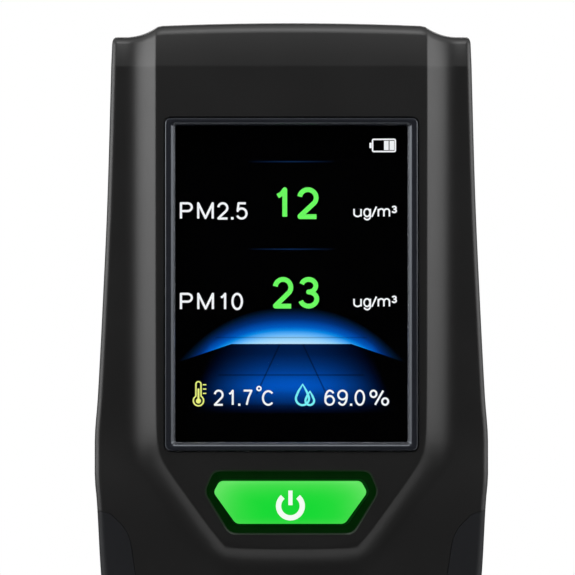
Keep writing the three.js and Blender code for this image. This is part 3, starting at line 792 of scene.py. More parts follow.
def text_setting(name, description, default):
    return bpy.props.StringProperty(name=name, description=description, default=default)


class CasingSettings(bpy.types.PropertyGroup):
    """Sizes and colours of the casing and what is set into it."""

    shell_colour: colour_setting("Shell colour", "Colour of the moulded casing", (0.0082, 0.008, 0.008))
    shell_rough: bpy.props.FloatProperty(
        name="Shell roughness", description="How matt the casing is", default=0.38, min=0, max=1)
    grip_colour: colour_setting("Grip colour", "Colour of the rubber side grips", (0.0058, 0.0064, 0.0082))
    rib_count: count_setting("Grip grooves", "Grooves across each side grip", 9, 0)
    rib_pitch: length_setting("Groove pitch", "Distance from one grip groove to the next", 3.6)
    vent_count: count_setting("Vent slots", "Slots behind the fan", 7)
    vent_pitch: length_setting("Vent pitch", "Distance from one vent slot to the next", 2.6)
    slat_count: count_setting("Inlet slats", "Slats over the air inlet", 12, 2)


class ScreenSettings(bpy.types.PropertyGroup):
    """What the screen shows, and in which colours."""

    fine_value: text_setting("Fine dust", "Upper reading", "12")
    coarse_value: text_setting("Coarse dust", "Lower reading", "23")
    warmth: text_setting("Temperature", "Temperature reading", "21.7")
    damp: text_setting("Humidity", "Humidity reading", "69.0")
    label_colour: colour_setting("Label colour", "Colour of the names and units", (0.92, 0.94, 0.96))
    value_colour: colour_setting("Value colour", "Colour of the two large readings", (0.15, 0.96, 0.12))
    warm_colour: colour_setting("Thermometer colour", "Colour of the temperature sign", (0.84, 0.9, 0.22))
    damp_colour: colour_setting("Drop colour", "Colour of the humidity sign", (0.19, 0.9, 0.96))
    brightness: bpy.props.FloatProperty(
        name="Brightness", description="Light given by the letters", default=1.0, min=0)


class KeySettings(bpy.types.PropertyGroup):
    """Size and colour of the lit power key."""

    glow: colour_setting("Key colour", "Colour of the lit key", (0.006, 0.75, 0.034))
    rim_glow: colour_setting("Key rim colour", "Colour of the key towards its edges", (0.13, 0.84, 0.13))
    sign_radius: length_setting("Sign radius", "Outer radius of the power sign", 2.68)
    sign_stroke: length_setting("Sign stroke", "Width of the power sign's line", 0.98)


class StageSettings(bpy.types.PropertyGroup):
    """The floor, the lamps and the camera."""

    floor_colour: colour_setting("Floor colour", "Colour of the floor", (0.82, 0.82, 0.82))
    side_light: power_setting("Side lamps", "Power of each side softbox", 2.35)
    side_balance: bpy.props.FloatProperty(
        name="Side balance", description="How much stronger the left softbox is than the right",
        default=0.15, min=-1, max=1, subtype="FACTOR")
    top_light: power_setting("Top lamp", "Power of the softbox overhead", 2.3)
    front_light: power_setting("Front lamp", "Power of the weak lamp at the camera's side", 0.22)
    back_light: power_setting("Back lamp", "Power of the lamp behind the object", 2.8)
    view_distance: length_setting("Camera distance", "From the camera to the front panel", 1474)


def settings(group):
    """One group of settings of the open scene."""
    return getattr(bpy.context.scene, group)


# ---- Forms that several pieces share ----

def casing_form(inset, steps=5):
    """The outer form of the whole casing, moved inwards by an inset."""
    rings = [ring_at(z, inset, trim) for z, trim in form_levels(inset, steps)]
    return loft("form", rings, zip_end=True)


def grip_outline(side, margin):
    """Region of one side grip in the front view; side is -1 or 1, and a margin makes it larger."""
    curve = [Vector((side * (x - margin), z)) for x, z in GRIP_EDGE[1:]]
    outside, top, foot = side * 45, GRIP_EDGE[0][1] + margin, GRIP_EDGE[-1][1] - margin
    points = [Vector((outside, top)), Vector((side * (GRIP_EDGE[0][0] - margin), top))]
    for i in range(len(curve) - 1):
        a, b, c, d = curve[max(i - 1, 0)], curve[i], curve[i + 1], curve[min(i + 2, len(curve) - 1)]
        for t in (k / 6 for k in range(6)):
            points.append(0.5 * (2 * b + (c - a) * t + (2 * a - 5 * b + 4 * c - d) * t * t
                                 + (3 * b - a - 3 * c + d) * t ** 3))
    points += [curve[-1], Vector((curve[-1].x, foot)), Vector((outside, foot))]
    outline = [(p.x, p.y) for p in points]
    return outline if side < 0 else outline[::-1]


def grip_room(side):
    """The space of one grip recess, ready to be cut from the casing."""
    return combine(prism(grip_outline(side, GAP), *THROUGH), [casing_form(GRIP_THICK + GAP)])


def soft_hole(outline_at, y_front, y_back, chamfer, side=-1):
    """A cutter for an opening with a chamfer at its mouth; side -1 opens to the front, 1 to the back."""
    levels = [(y_front + side * 6, chamfer), (y_front, chamfer), (y_front - side * chamfer, 0), (y_back, 0)]
    return loft("cutter", [at_depth(outline_at(grow), y) for y, grow in levels])


def round_hole(x, z, radius, *rest):
    return soft_hole(lambda grow: circle(x, z, radius + grow), *rest)


CASE_SCREWS = [f"case_screw_{i}" for i in (1, 2, 3, 4)]


def screw_places():
    """Middle of each casing screw, at the top of its head, from the CAD screws."""
    return [(x, node_box(name)[1].y, z) for name in CASE_SCREWS for x, z in [node_middle(name)]]


def beyond(start, end):
    """Everything between two depths, to cut away."""
    return block(-FAR, FAR, start, end, -10, HEIGHT + 10)


def split_form(keep_front):
    """The casing wall of one half, with the grip recesses."""
    body = casing_form(0)
    combine(body, [casing_form(WALL, 2), grip_room(-1), grip_room(1)])
    other_half = (PARTING_Y - GAP / 2, FAR) if keep_front else (-FAR, PARTING_Y + GAP / 2)
    return combine(body, [beyond(*other_half)])


def largest_part(piece):
    """Removes loose crumbs that cuts leave behind."""
    shape = bmesh.new()
    shape.from_mesh(piece.data)
    bmesh.ops.remove_doubles(shape, verts=shape.verts, dist=1e-7)
    unseen = set(shape.verts)
    islands = []
    while unseen:
        stack, island = [unseen.pop()], []
        while stack:
            vert = stack.pop()
            island.append(vert)
            for edge in vert.link_edges:
                other = edge.other_vert(vert)
                if other in unseen:
                    unseen.remove(other)
                    stack.append(other)
        islands.append(island)
    islands.sort(key=len)
    bmesh.ops.delete(shape, geom=[v for island in islands[:-1] for v in island], context="VERTS")
    shape.to_mesh(piece.data)
    shape.free()
    return piece


def joined(name, pieces):
    """One object from several that share a finish."""
    shape = bmesh.new()
    for piece in pieces:
        shape.from_mesh(piece.data)
        bpy.data.objects.remove(piece)
    mesh = bpy.data.meshes.new(name)
    shape.to_mesh(mesh)
    shape.free()
    return new_object(name, mesh)


def moulded(piece, name, slot, material, *nodes):
    """Names a cut casing piece, drops its crumbs, and fits it with smooth shading."""
    largest_part(piece)
    piece.name = piece.data.name = name
    return fitted(smooth(piece), "casing", slot, material, *nodes)


class MonitorOperator(bpy.types.Operator):
    """Shared base of the building steps: each can be undone."""

    bl_options = {"REGISTER", "UNDO"}


class MONITOR_OT_front_shell(MonitorOperator):
    """Front half of the casing, with the screen seat, the key pocket and the grip recesses"""

    bl_idname = "monitor.front_shell"
    bl_label = "Front Shell"

    def execute(self, context):
        body = split_form(True)

        def around(width, height, margin, corner):
            return rectangle(width + 2 * margin, height + 2 * margin, SCREEN_Z, corner)

        def seat(grow):
            return around(BEZEL_WIDTH, BEZEL_HEIGHT, SEAT_PLAY + grow, SEAT_CORNER + grow)

        shelf = around(BEZEL_WIDTH, BEZEL_HEIGHT, LEDGE_MARGIN, 3)
        combine(body, [prism(shelf, LEDGE_Y - 1, LEDGE_Y + LEDGE_THICK)], "UNION")
        cutters = [
            soft_hole(seat, PANEL_Y, LEDGE_Y, 0.12),
            prism(around(VIEW_WIDTH, VIEW_HEIGHT, VIEW_PLAY, 0.5), -30, 0),
            soft_hole(lambda grow: key_outline(KEY_POCKET + grow, 1.3), PANEL_Y, POCKET_Y, 0.28),
            prism(key_outline(0.35, 1.0), -30, -5),
            usb_mouth(),
        ]
        combine(body, cutters)
        moulded(body, "casing_front", "shell_black", shell_material(), "front_case")
        return {"FINISHED"}


VENT_HALF = 0.6                 # half the height of a vent slot
SIDE_VENT = (29, 40, 4.85, 10.05)   # lowest and highest x and y of a slot in the right side wall
SIDE_VENT_COUNT, SIDE_VENT_Z = 4, 121.5


class MONITOR_OT_rear_shell(MonitorOperator):
    """Rear half of the casing, with vents, screw seats, the tripod boss and the label recess"""

    bl_idname = "monitor.rear_shell"
    bl_label = "Rear Shell"

    def execute(self, context):
        casing = settings("monitor_casing")
        body = split_form(False)
        boss_radius, post_radius, seat_radius, bore_radius, insert_radius = 7, 3.9, 2.9, 1.6, 4.9
        label_depth, vent_reach, vent_end, head_height = 0.6, 7.9, 12, 2.2
        tripod, insert = node_middle("tripod_insert"), node_box("tripod_insert")[0].y
        boss = drum(*tripod, boss_radius, insert - 1.2, BACK_Y - 1)
        places = [(x, y, z, BACK_Y - setback_at(z)) for x, y, z in screw_places()]
        posts = [drum(x, z, post_radius, PARTING_Y + GAP / 2, back - 1) for x, _, z, back in places]
        combine(body, [boss, *posts], "UNION")
        grille_low, grille_high = node_box("inlet_grille")
        fan_x, fan_z = node_middle("fan_rotor")
        count, pitch = casing.vent_count, casing.vent_pitch / MM
        first_slot = fan_z - (count - 1) / 2 * pitch

        def label_seat(grow):
            (width, height), room = node_size("rating_label"), 2 * (GAP + grow)
            return rectangle(width + room, height + room, node_middle("rating_label")[1], SEAT_CORNER + grow)

        def slot_at(grow):
            return slot_outline(fan_x, 0, vent_reach, VENT_HALF + grow)

        cutters = [round_hole(x, z, seat_radius, back, y - head_height, 0.25, 1) for x, y, z, back in places]
        cutters += [drum(x, z, bore_radius, 0, y) for x, y, z, _ in places]
        cutters += [
            round_hole(*tripod, insert_radius, BACK_Y, insert - GAP, 0.35, 1),
            soft_hole(label_seat, BACK_Y, BACK_Y - label_depth, 0.12, 1),
            block(grille_low.x - GAP, grille_high.x + GAP, grille_low.y - GAP, grille_high.y + GAP,
                  HEIGHT - 8, HEIGHT + 5),
            row("slots", soft_hole(slot_at, BACK_Y, vent_end, 0.3, 1), count,
                (0, 0, first_slot), (0, 0, pitch)),
            row("side_slots", block(*SIDE_VENT, -VENT_HALF, VENT_HALF), SIDE_VENT_COUNT,
                (0, 0, SIDE_VENT_Z), (0, 0, pitch)),
            usb_mouth(),
        ]
        combine(body, cutters)
        moulded(body, "casing_rear", "shell_black", shell_material(), "rear_case")
        return {"FINISHED"}


def usb_mouth():
    """Opening around the charging socket, shared by both halves."""
    low, high = node_box("usb_socket")
    room = 0.7
    return block(low.x - room, high.x + room, low.y - room, high.y + room, -1, 4)


def shell_material():
    casing = settings("monitor_casing")
    known = bpy.data.materials.get("shell_plastic")
    return known or black_plastic("shell_plastic", casing.shell_colour, casing.shell_rough, 0.16, 0.007, 0.5)


LIP_REACH = 1.6                 # how far the lip stands into each half
LIP_OUTER, LIP_INNER = WALL + 0.15, WALL + 0.85


class MONITOR_OT_seam_lip(MonitorOperator):
    """Thin lip inside the casing that closes the joint between its halves"""

    bl_idname = "monitor.seam_lip"
    bl_label = "Seam Lip"

    def execute(self, context):
        lip = casing_form(LIP_OUTER, 2)
        around = [
            casing_form(LIP_INNER, 2),
            beyond(-FAR, PARTING_Y - LIP_REACH),
            beyond(PARTING_Y + LIP_REACH, FAR),
            usb_mouth(),
        ]
        combine(lip, around)
        moulded(lip, "seam_lip", "shell_black", shell_material())
        return {"FINISHED"}


class MONITOR_OT_grips(MonitorOperator):
    """Rubber side grips with cross grooves low down"""

    bl_idname = "monitor.grips"
    bl_label = "Side Grips"

    def execute(self, context):
        casing = settings("monitor_casing")
        rubber = black_plastic("grip_rubber", casing.grip_colour, 0.55, 0.22, 0.015, 0.3)
        pitch = casing.rib_pitch / MM
        for side, name in ((-1, "grip_left"), (1, "grip_right")):
            pad = combine(prism(grip_outline(side, GAP - GRIP_SEAM), *THROUGH), [casing_form(0)], "INTERSECT")
            groove = prism(rectangle(90, GROOVE_HEIGHT, 0, 0.3), *THROUGH)
            grooves = row("grooves", groove, casing.rib_count, (0, 0, FIRST_GROOVE_Z), (0, 0, pitch))
            combine(grooves, [casing_form(GROOVE_DEPTH, 2)])
            combine(pad, [casing_form(GRIP_THICK, 2), grooves])
            moulded(pad, name + "_pad", "grip_rubber", rubber, name)
        return {"FINISHED"}


class MONITOR_OT_screen_frame(MonitorOperator):
    """Glossy frame around the screen, and the clear window in it"""

    bl_idname = "monitor.screen_frame"
    bl_label = "Screen Frame and Window"

    def execute(self, context):
        front, back = (corner.y for corner in node_box("screen_bezel"))
        half_land = BEZEL_WIDTH / 2 - VIEW_WIDTH / 2
        upright = (BEZEL_HEIGHT - VIEW_HEIGHT) / (BEZEL_WIDTH - VIEW_WIDTH)
        section = [
            (half_land, back), (half_land, front + 0.3), (half_land - 0.04, front + 0.15),
            (half_land - 0.14, front + 0.04), (half_land - 0.3, front), (1.02, front), (0.86, front + 0.03),
            (0.7, front + 0.1), (0.5, front + 0.25), (0.3, front + 0.45), (0.12, front + 0.66),
            (0, front + 0.84), (0, back),
        ]
        rings = []
        for grow, y in section:
            corner = 0.35 + max(grow, 0) * 0.42
            middle = SCREEN_Z + 0.1 * (1 - grow / half_land)
            rings.append(at_depth(
                rectangle(VIEW_WIDTH + 2 * grow, VIEW_HEIGHT + 2 * grow * upright, middle, corner, 8), y))
        ring = smooth(loft("screen_frame", rings, closed=True), 24)
        gloss = varied("frame_gloss", (0.011, 0.012, 0.016), 0.24, size=0.4, depth=0.001,
                       Specular_IOR_Level=0.7, Specular_Tint=(0.84, 0.91, 1, 1))
        fitted(ring, "casing", "bezel_gloss", gloss, "screen_bezel")

        low, high = node_box("display_window")
        edge = 0.12
        levels = [(low.y, -edge), (low.y + edge, 0), (high.y - edge, 0), (high.y, -edge)]
        width, height = node_size("display_window")
        pane = loft("clear_window", [
            at_depth(rectangle(width + 2 * g, height + 2 * g, SCREEN_Z, 1.1, 8), y) for y, g in levels])
        clear = Finish("window_clear", Base_Color=(1, 1, 1, 1), Transmission_Weight=1.0, IOR=1.3,
                       Specular_IOR_Level=0.3)
        clear.set(Roughness=0.002 + 0.004 * clear.noise(12, 2))
        fitted(smooth(pane, 24), "casing", "window_clear", clear.material, "display_window")
        return {"FINISHED"}


INK = 0.02                      # thickness of printed or lit signs


def stroke(path, width, y, closed=False, thick=INK):
    """A flat line of one width along a path of (x, z) points in millimetres."""
    rings = []
    for i, (x, z) in enumerate(path):
        before = path[i - 1] if closed or i else path[i]
        after = path[(i + 1) % len(path)] if closed or i < len(path) - 1 else path[i]
        along = Vector((after[0] - before[0], after[1] - before[1])).normalized()
        nx, nz = -along.y * width / 2, along.x * width / 2
        rings.append([(x + nx, y, z + nz), (x + nx, y + thick, z + nz),
                      (x - nx, y + thick, z - nz), (x - nx, y, z - nz)])
    return loft("line", rings, closed=closed)


def oval(x, z, wide, tall):
    """A closed line, shown by its last point being its first."""
    points = bend(x, z, wide, 0, 360, 28, tall)
    return points[:-1] + [points[0]]


# Each sign's lines in a box from 0 to 1, with the share of its height that its ink and its cell take.
GLYPHS = {
    "0": (0.66, 0.80, [oval(0.5, 0.5, 0.5, 0.5)]),
    "1": (0.36, 0.80, [[(0, 0.76), (0.55, 0.84), (1, 1), (1, 0)]]),
    "2": (0.66, 0.80, [bend(0.5, 0.7, 0.48, 172, -38, 20, 0.3) + [(0.04, 0.02), (0.04, 0), (1, 0)]]),
    "3": (0.66, 0.80, [bend(0.5, 0.765, 0.44, 165, -90, 20, 0.235)
                       + bend(0.5, 0.265, 0.5, 90, -165, 20, 0.265)[1:]]),
    "4": (0.66, 0.80, [[(0.75, 0), (0.75, 1), (0, 0.3), (1, 0.3)]]),
    "5": (0.66, 0.80, [[(0.92, 1), (0.16, 1), (0.06, 0.5)] + bend(0.48, 0.33, 0.52, 128, -155, 20, 0.33)]),
    "6": (0.66, 0.80, [oval(0.5, 0.31, 0.5, 0.31), bend(0.5, 0.66, 0.48, 25, 90, 6, 0.34)
                       + bend(0.5, 0.4, 0.5, 92, 180, 8, 0.6)]),
    "7": (0.64, 0.80, [[(0, 1), (1, 1), (0.62, 0.52), (0.38, 0)]]),
    "8": (0.66, 0.80, [oval(0.5, 0.76, 0.42, 0.24), oval(0.5, 0.26, 0.5, 0.26)]),
    "9": (0.66, 0.80, [oval(0.5, 0.69, 0.5, 0.31), bend(0.5, 0.34, 0.48, 205, 270, 6, 0.34)
                       + bend(0.5, 0.6, 0.5, 272, 360, 8, 0.6)]),
    ".": (0.15, 0.28, []),
    "P": (0.74, 1.0, [[(0, 0), (0, 1), (0.62, 1)] + bend(0.62, 0.745, 0.38, 85, -85, 12, 0.255)
                      + [(0.62, 0.49), (0, 0.49)]]),
    "M": (0.95, 1.17, [[(0, 0), (0, 1), (0.5, 0.04), (1, 1), (1, 0)]]),
    "C": (0.84, 0.95, [bend(0.5, 0.5, 0.5, 42, 318, 26)]),
    "%": (1.22, 1.3, [oval(0.17, 0.77, 0.17, 0.23), [(0.72, 1), (0.26, 0)], oval(0.83, 0.23, 0.17, 0.23)]),
    "u": (0.85, 0.95, [[(0, 1)] + bend(0.5, 0.38, 0.5, 180, 355, 12, 0.38) + [(1, 0.45)], [(1, 1), (1, 0)]]),
    "g": (0.85, 0.95, [oval(0.48, 0.5, 0.48, 0.5),
                       [(1, 1), (1, 0.1)] + bend(0.5, 0, 0.5, 0, -160, 12, 0.42)]),
    "/": (0.5, 0.5, [[(0, -0.05), (1, 1.3)]]),
    "m": (1.45, 1.55, [[(0, 1), (0, 0)], [(0, 0.6)] + bend(0.26, 0.66, 0.24, 165, 0, 10, 0.34) + [(0.5, 0)],
                       [(0.5, 0.6)] + bend(0.76, 0.66, 0.24, 165, 0, 10, 0.34) + [(1, 0)]]),
}
SHARP_TURN = math.radians(35)


def smooth_runs(path):
    """Splits a path at its sharp corners; gives the runs and the corners."""
    runs, corners, run = [], [], [path[0]]
    for i in range(1, len(path)):
        run.append(path[i])
        if i < len(path) - 1:
            before = Vector(path[i]) - Vector(path[i - 1])
            after = Vector(path[i + 1]) - Vector(path[i])
            if before.length and after.length and before.angle(after) > SHARP_TURN:
                corners.append(path[i])
                runs.append(run)
                run = [path[i]]
    runs.append(run)
    return runs, corners


def inked(paths, width, y):
    """One closed flat shape from lines of one width; sharp corners are rounded outside."""
    pieces = []
    for path in paths:
        if path[0] == path[-1]:
            pieces.append(stroke(path[:-1], width, y, True))
            continue
        runs, corners = smooth_runs(path)
        pieces += [stroke(run, width, y) for run in runs]
        pieces += [drum(x, z, width / 2, y, y + INK, 20) for x, z in corners]
    return combine(pieces[0], pieces[1:], "UNION")


def sign(glyph, left, right, low, high, width, y):
    """One letter, digit or sign whose ink fills a box."""
    if glyph == ".":
        return block(left, left + width * 1.15, y, y + INK, low, low + width * 1.15)
    half, wide, tall = width / 2, right - left - width, high - low - width
    paths = [[(left + half + wide * x, low + half + tall * z) for x, z in path] for path in GLYPHS[glyph][2]]
    return inked(paths, width, y)


def written(text, left, right, low, high, width, y):
    """A line of signs whose ink fills a box; lengths in millimetres."""
    cells = [GLYPHS[glyph] for glyph in text]
    side = [(cell - ink) / 2 for ink, cell, _ in cells]
    total = sum(cell for _, cell, _ in cells) - side[0] - side[-1]
    scale = (right - left) / total
    signs, x = [], left - side[0] * scale
    for glyph, (ink, cell, _), bearing in zip(text, cells, side):
        start = x + bearing * scale
        signs.append(sign(glyph, start, start + ink * scale, low, high, width, y))
        x += cell * scale
    return joined(text, signs)


class MONITOR_OT_readout(MonitorOperator):
    """Lit screen: the glowing panel with its names, readings, units and small signs"""

    bl_idname = "monitor.readout"
    bl_label = "Screen Readout"

    def execute(self, context):
        screen = settings("monitor_screen")
        self.y = node_box("lcd_panel")[0].y - 0.03
        dress("lcd_panel", screen_glow("screen_glow"))
        power, z = screen.brightness, SCREEN_Z
        names, small = 0.42, 0.37              # widths of the lines that the signs are drawn with
        labels = [
            written("PM2.5", -20.65, -8.1, z + 11.96, z + 15.2, names, self.y),
            written("PM10", -20.65, -8.95, z - 4.8, z - 1.57, names, self.y),
            *self.units(z + 12.4), *self.units(z - 4.25),
            written(screen.warmth, -14.4, -7.2, z - 22.5, z - 19.5, small, self.y),
            inked([oval(-6.0, z - 19.3, 0.36, 0.36)], 0.3, self.y),
            sign("C", -5.45, -3.1, z - 22.5, z - 19.6, small, self.y),
            written(screen.damp, 6.1, 13.65, z - 22.5, z - 19.5, small, self.y),
            sign("%", 14.45, 18.1, z - 22.5, z - 19.5, small, self.y),
            *self.battery(),
        ]
        self.show("readout_labels", labels, lit("letters_white", screen.label_colour, power))
        values = [written(screen.fine_value, -3.0, 5.1, z + 12.06, z + 17.96, 0.9, self.y),
                  written(screen.coarse_value, -3.5, 5.15, z - 4.5, z + 1.35, 0.9, self.y)]
        self.show("readout_values", values, lit("digits_green", screen.value_colour, power))
        self.show("sign_thermometer", self.thermometer(), lit("sign_yellow", screen.warm_colour, power))
        self.show("sign_drops", self.drops(), lit("sign_cyan", screen.damp_colour, power))
        return {"FINISHED"}

    def units(self, low):
        """Micrograms per cubic metre, with a small raised 3."""
        spans = (("u", 11.45, 13.05), ("g", 13.3, 14.75), ("/", 14.75, 15.9), ("m", 15.95, 18.3))
        signs = [sign(glyph, left, right, low, low + 1.7, 0.3, self.y) for glyph, left, right in spans]
        return signs + [sign("3", 18.5, 19.55, low + 0.75, low + 2.15, 0.3, self.y)]

    def show(self, name, pieces, material):
        fitted(joined(name, pieces), "casing", "screen_lit", material)

    def battery(self):
        """A lying cell: its outline, end stud and two filled bars."""
        z = SCREEN_Z
        frame_line = [(x + 17.13, level) for x, level in rectangle(4.2, 2.25, z + 25.7, 0.2, 2)]
        bars = [block(17.15 + step, 18.0 + step, self.y, self.y + INK, z + 24.85, z + 26.55)
                for step in (0, 1.02)]
        stud = block(14.45, 14.85, self.y, self.y + INK, z + 25.2, z + 26.2)
        return [inked([frame_line + frame_line[:1]], 0.28, self.y), stud, *bars]

    def thermometer(self):
        z = SCREEN_Z
        bulb = bend(-17.2, z - 21.55, 0.95, 120, 420, 20)
        cap = bend(-17.2, z - 18.5, 0.47, 0, 180, 10)
        marks = [stroke([(-16.4, z - level), (-15.75, z - level)], 0.22, self.y)
                 for level in (18.6, 19.4, 20.2)]
        core = stroke([(-17.2, z - 21.9), (-17.2, z - 19.3)], 0.36, self.y)
        drop = drum(-17.2, z - 21.6, 0.48, self.y, self.y + INK, 16)
        return [stroke(bulb + cap, 0.27, self.y, True), core, drop, *marks]

    def drops(self):
        z, shapes = SCREEN_Z, []
        for x, low, size in ((2.05, -21.15, 1.22), (3.4, -21.55, 0.8)):
            round_part = bend(x, z + low, size, 150, 390, 20)
            tip = (x + 0.05, z + low + size * 2.15)
            side = [(x + size * 0.62, z + low + size * 1.1), tip, (x - size * 0.62, z + low + size * 1.1)]
            shapes.append(stroke(round_part + side, 0.4, self.y, True))
        return shapes


KEY_SHIFT = -0.2                # the key sits a little to one side in its opening
KEY_POCKET = 1.75               # width of the pocket around the key


class MONITOR_OT_power_key(MonitorOperator):
    """Lit power key with its collar, stem and sign"""

    bl_idname = "monitor.power_key"
    bl_label = "Power Key"

    def execute(self, context):
        key = settings("monitor_key")
        low, high = node_box("power_button")
        front, flange = low.y, PANEL_Y + 2.7
        sections = [(0, flange + 0.5), (0, front + 0.62), (-0.05, front + 0.36), (-0.2, front + 0.15),
                    (-0.45, front + 0.04), (-0.8, front)]
        rings = [at_depth(key_outline(m, 0.75 + m * 0.4, KEY_SHIFT), y) for m, y in sections]
        cap = loft("power_key_cap", rings)
        collar_margin, stem_z, stem_radius = 1.25, 67.3, 1.6
        collar = prism(key_outline(collar_margin, 1.0), flange, flange + 1)
        stem = drum(0, stem_z, stem_radius, flange + 0.5, high.y, 24)
        combine(cap, [collar, stem], "UNION")
        fitted(smooth(cap, 28), "power_key", "key_green", self.glowing(key, front), "power_button")
        # painted shade and painted green key light in the pocket around the key
        self.painted_pocket_shade()
        radius, width = key.sign_radius / MM, key.sign_stroke / MM
        x, z, half_bar, thick = -0.18, 67.2, 0.39, 0.025
        y = front - 0.03
        ring = stroke(bend(x, z, radius - width / 2, 130, 410, 40), width, y, thick=thick)
        bar = block(x - half_bar, x + half_bar, y, y + thick, z + 0.15, z + 2.85)
        white = lit("sign_white", (0.93, 1.0, 0.93), 1.0)
        fitted(joined("power_sign", [ring, bar]), "power_key", "lamp", white)
        return {"FINISHED"}

    @staticmethod
    def painted_pocket_shade():
        """Dark sheet on the pocket's floor and walls: painted shade, with a painted green glow of the key's
        light in its emission.
        """
        outer, inner, shade_thick, top = KEY_POCKET - 0.01, 0.42, 0.12, PANEL_Y + 0.3
        levels = [(outer, POCKET_Y), (outer, top), (outer - shade_thick, top), (outer - shade_thick, POCKET_Y - shade_thick),
                  (inner, POCKET_Y - shade_thick), (inner, POCKET_Y)]
        painted_pocket_shade = loft("pocket_lining", [at_depth(key_outline(m, 1.0), y) for m, y in levels], closed=True)
        # the base colour is painted shade, the emission a painted green glow cast by the key
        look = Finish("pocket_painted_shade_glow", Roughness=0.5, Specular_IOR_Level=0.1, Emission_Strength=1.0)
        near = look.noise(2.5, 2)
        look.set(
            Base_Color=look.blend(near, (0.0004, 0.002, 0.0004), (0.0006, 0.004, 0.0006)),
            Emission_Color=look.blend(near, (0.0, 0.009, 0.0003), (0.0002, 0.015, 0.0006)),
        )
        fitted(smooth(painted_pocket_shade, 24), "casing", "shell_black", look.material)

    @staticmethod
    def glowing(key, front):
        """Clear green plastic lit from behind: deeper in the middle, paler towards the rim."""
        look = Finish("key_glow", Roughness=0.28, Specular_IOR_Level=0.3, Emission_Strength=0.88)
        x, y, z = look.axes()
        away = (abs(x) / 13.4) ** 4 * 0.8 + ((z - 66.6).most(0.0) / 5.2) ** 3 * 0.7
        away = away + ((65.6 - z).most(0.0) / 1.7) ** 2 * 0.28
        cloud = 0.1 * look.noise(3.5, 2)
        colour = look.blend((away + cloud - 0.05).within(), key.glow, key.rim_glow)
        skirt = ((y - front - 0.5) / 0.7).within()
        look.set(
            Emission_Color=look.blend(skirt, colour, (0.0, 0.035, 0.002)),
            Base_Color=look.blend(cloud, (0.002, 0.03, 0.004), (0.004, 0.05, 0.006)),
        )
        look.grain(look.noise(0.3, 2), 0.002)
        return look.material


class MONITOR_OT_screws(MonitorOperator):
    """Casing screws with a cross recess, each left at its own angle"""

    bl_idname = "monitor.screws"
    bl_label = "Casing Screws"

    def execute(self, context):
        low, high = node_box("case_screw_1")
        length = high.y - low.y
        head, pitch = 2.2, 0.9
        profile = [(0, -length), (0.7, -length), (1.1, 1 - length)]
        for i in range(int((length - head - 1.6) / pitch)):
            y = 1.2 - length + i * pitch
            profile += [(1.05, y), (1.4, y + 0.4), (1.05, y + 0.8)]
        profile += [(1.3, -head), (2.42, -head), (2.5, -head + 0.1), (2.5, -0.75), (2.3, -0.35), (1.7, -0.1),
                    (0.9, 0), (0, 0)]
        screw = loft("screw", [at_depth(circle(0, 0, max(radius, 1e-4), 40), y) for radius, y in profile])
        long, thin = 3, 0.72
        combine(screw, [prism(rectangle(*arm, 0, 0.15, 3), -1.25, 1) for arm in ((long, thin), (thin, long))])
        steel = brushed_metal("screw_steel", (0.52, 0.52, 0.54), 0.28)
        smooth(screw, 30)
        screws = grown("case_screws", scatter_tree(), screw,
                       {"Turn": math.pi, "Seed": 7, "Finish": steel}, screw_places())
        fitted(smooth(screws, 30), "casing", "screw_steel", steel, *CASE_SCREWS)
        return {"FINISHED"}


class MONITOR_OT_inlet(MonitorOperator):
    """Air inlet at the top: a frame with a row of slats"""

    bl_idname = "monitor.inlet"
    bl_label = "Air Inlet"

    def execute(self, context):
        low, high = node_box("inlet_grille")
        count = settings("monitor_casing").slat_count
        edge = 1.0
        rim = block(low.x, high.x, low.y, high.y, low.z, high.z)
        hole = block(low.x + edge, high.x - edge, low.y + edge, high.y - edge, low.z - 1, high.z + 1)
        combine(rim, [hole])
        pitch = (high.x - low.x - 2 * edge) / (count - 1)
        thick, tall = 1.1, high.z - low.z - 0.2
        blade = prism(rectangle(thick, tall, tall / 2, 0.3, 4), low.y + edge - 0.05, high.y - edge + 0.05)
        blades = row("slats", blade, count, (low.x + edge, 0, low.z + 0.1), (pitch, 0, 0))
        combine(rim, [blades], "UNION")
        rim.name = rim.data.name = "inlet_slats"
        fitted(smooth(rim), "casing", "shell_black", shell_material(), "inlet_grille")
        return {"FINISHED"}


class MONITOR_OT_tripod_insert(MonitorOperator):
    """Brass insert with a cut thread for a tripod screw"""

    bl_idname = "monitor.tripod_insert"
    bl_label = "Tripod Insert"

    def execute(self, context):
        low, high = node_box("tripod_insert")
        x, z = node_middle("tripod_insert")
        sides, pitch, steps = 48, 1.27, 60
        crest, thread_depth = 2.75, 0.55
        mouth, floor = high.y - 0.5, low.y + 0.8

        def threaded(y):
            ring = []
            for angle in (i / sides * 2 * math.pi for i in range(sides)):
                groove = abs((y / pitch + angle / (2 * math.pi)) % 1 - 0.5) * 2
                radius = crest + thread_depth * clamp01(groove * 1.25 - 0.1)
                ring.append((x + radius * math.cos(angle), y, z + radius * math.sin(angle)))
            return ring

        plain = [(low.y, 0.01), (low.y, 4.45), (low.y + 0.15, 4.6), (high.y - 0.2, 4.6), (high.y, 4.4),
                 (high.y, 3.75), (high.y - 0.45, 3.32)]
        rings = [at_depth(circle(x, z, radius, sides), y) for y, radius in plain]
        rings += [threaded(mouth - (mouth - floor) * i / steps) for i in range(steps + 1)]
        rings.append(at_depth(circle(x, z, 0.01, sides), floor))
        insert = smooth(loft("tripod_thread", rings), 40)
        fitted(insert, "casing", "brass", brushed_metal("brass", (0.62, 0.43, 0.16), 0.3), "tripod_insert")
        return {"FINISHED"}


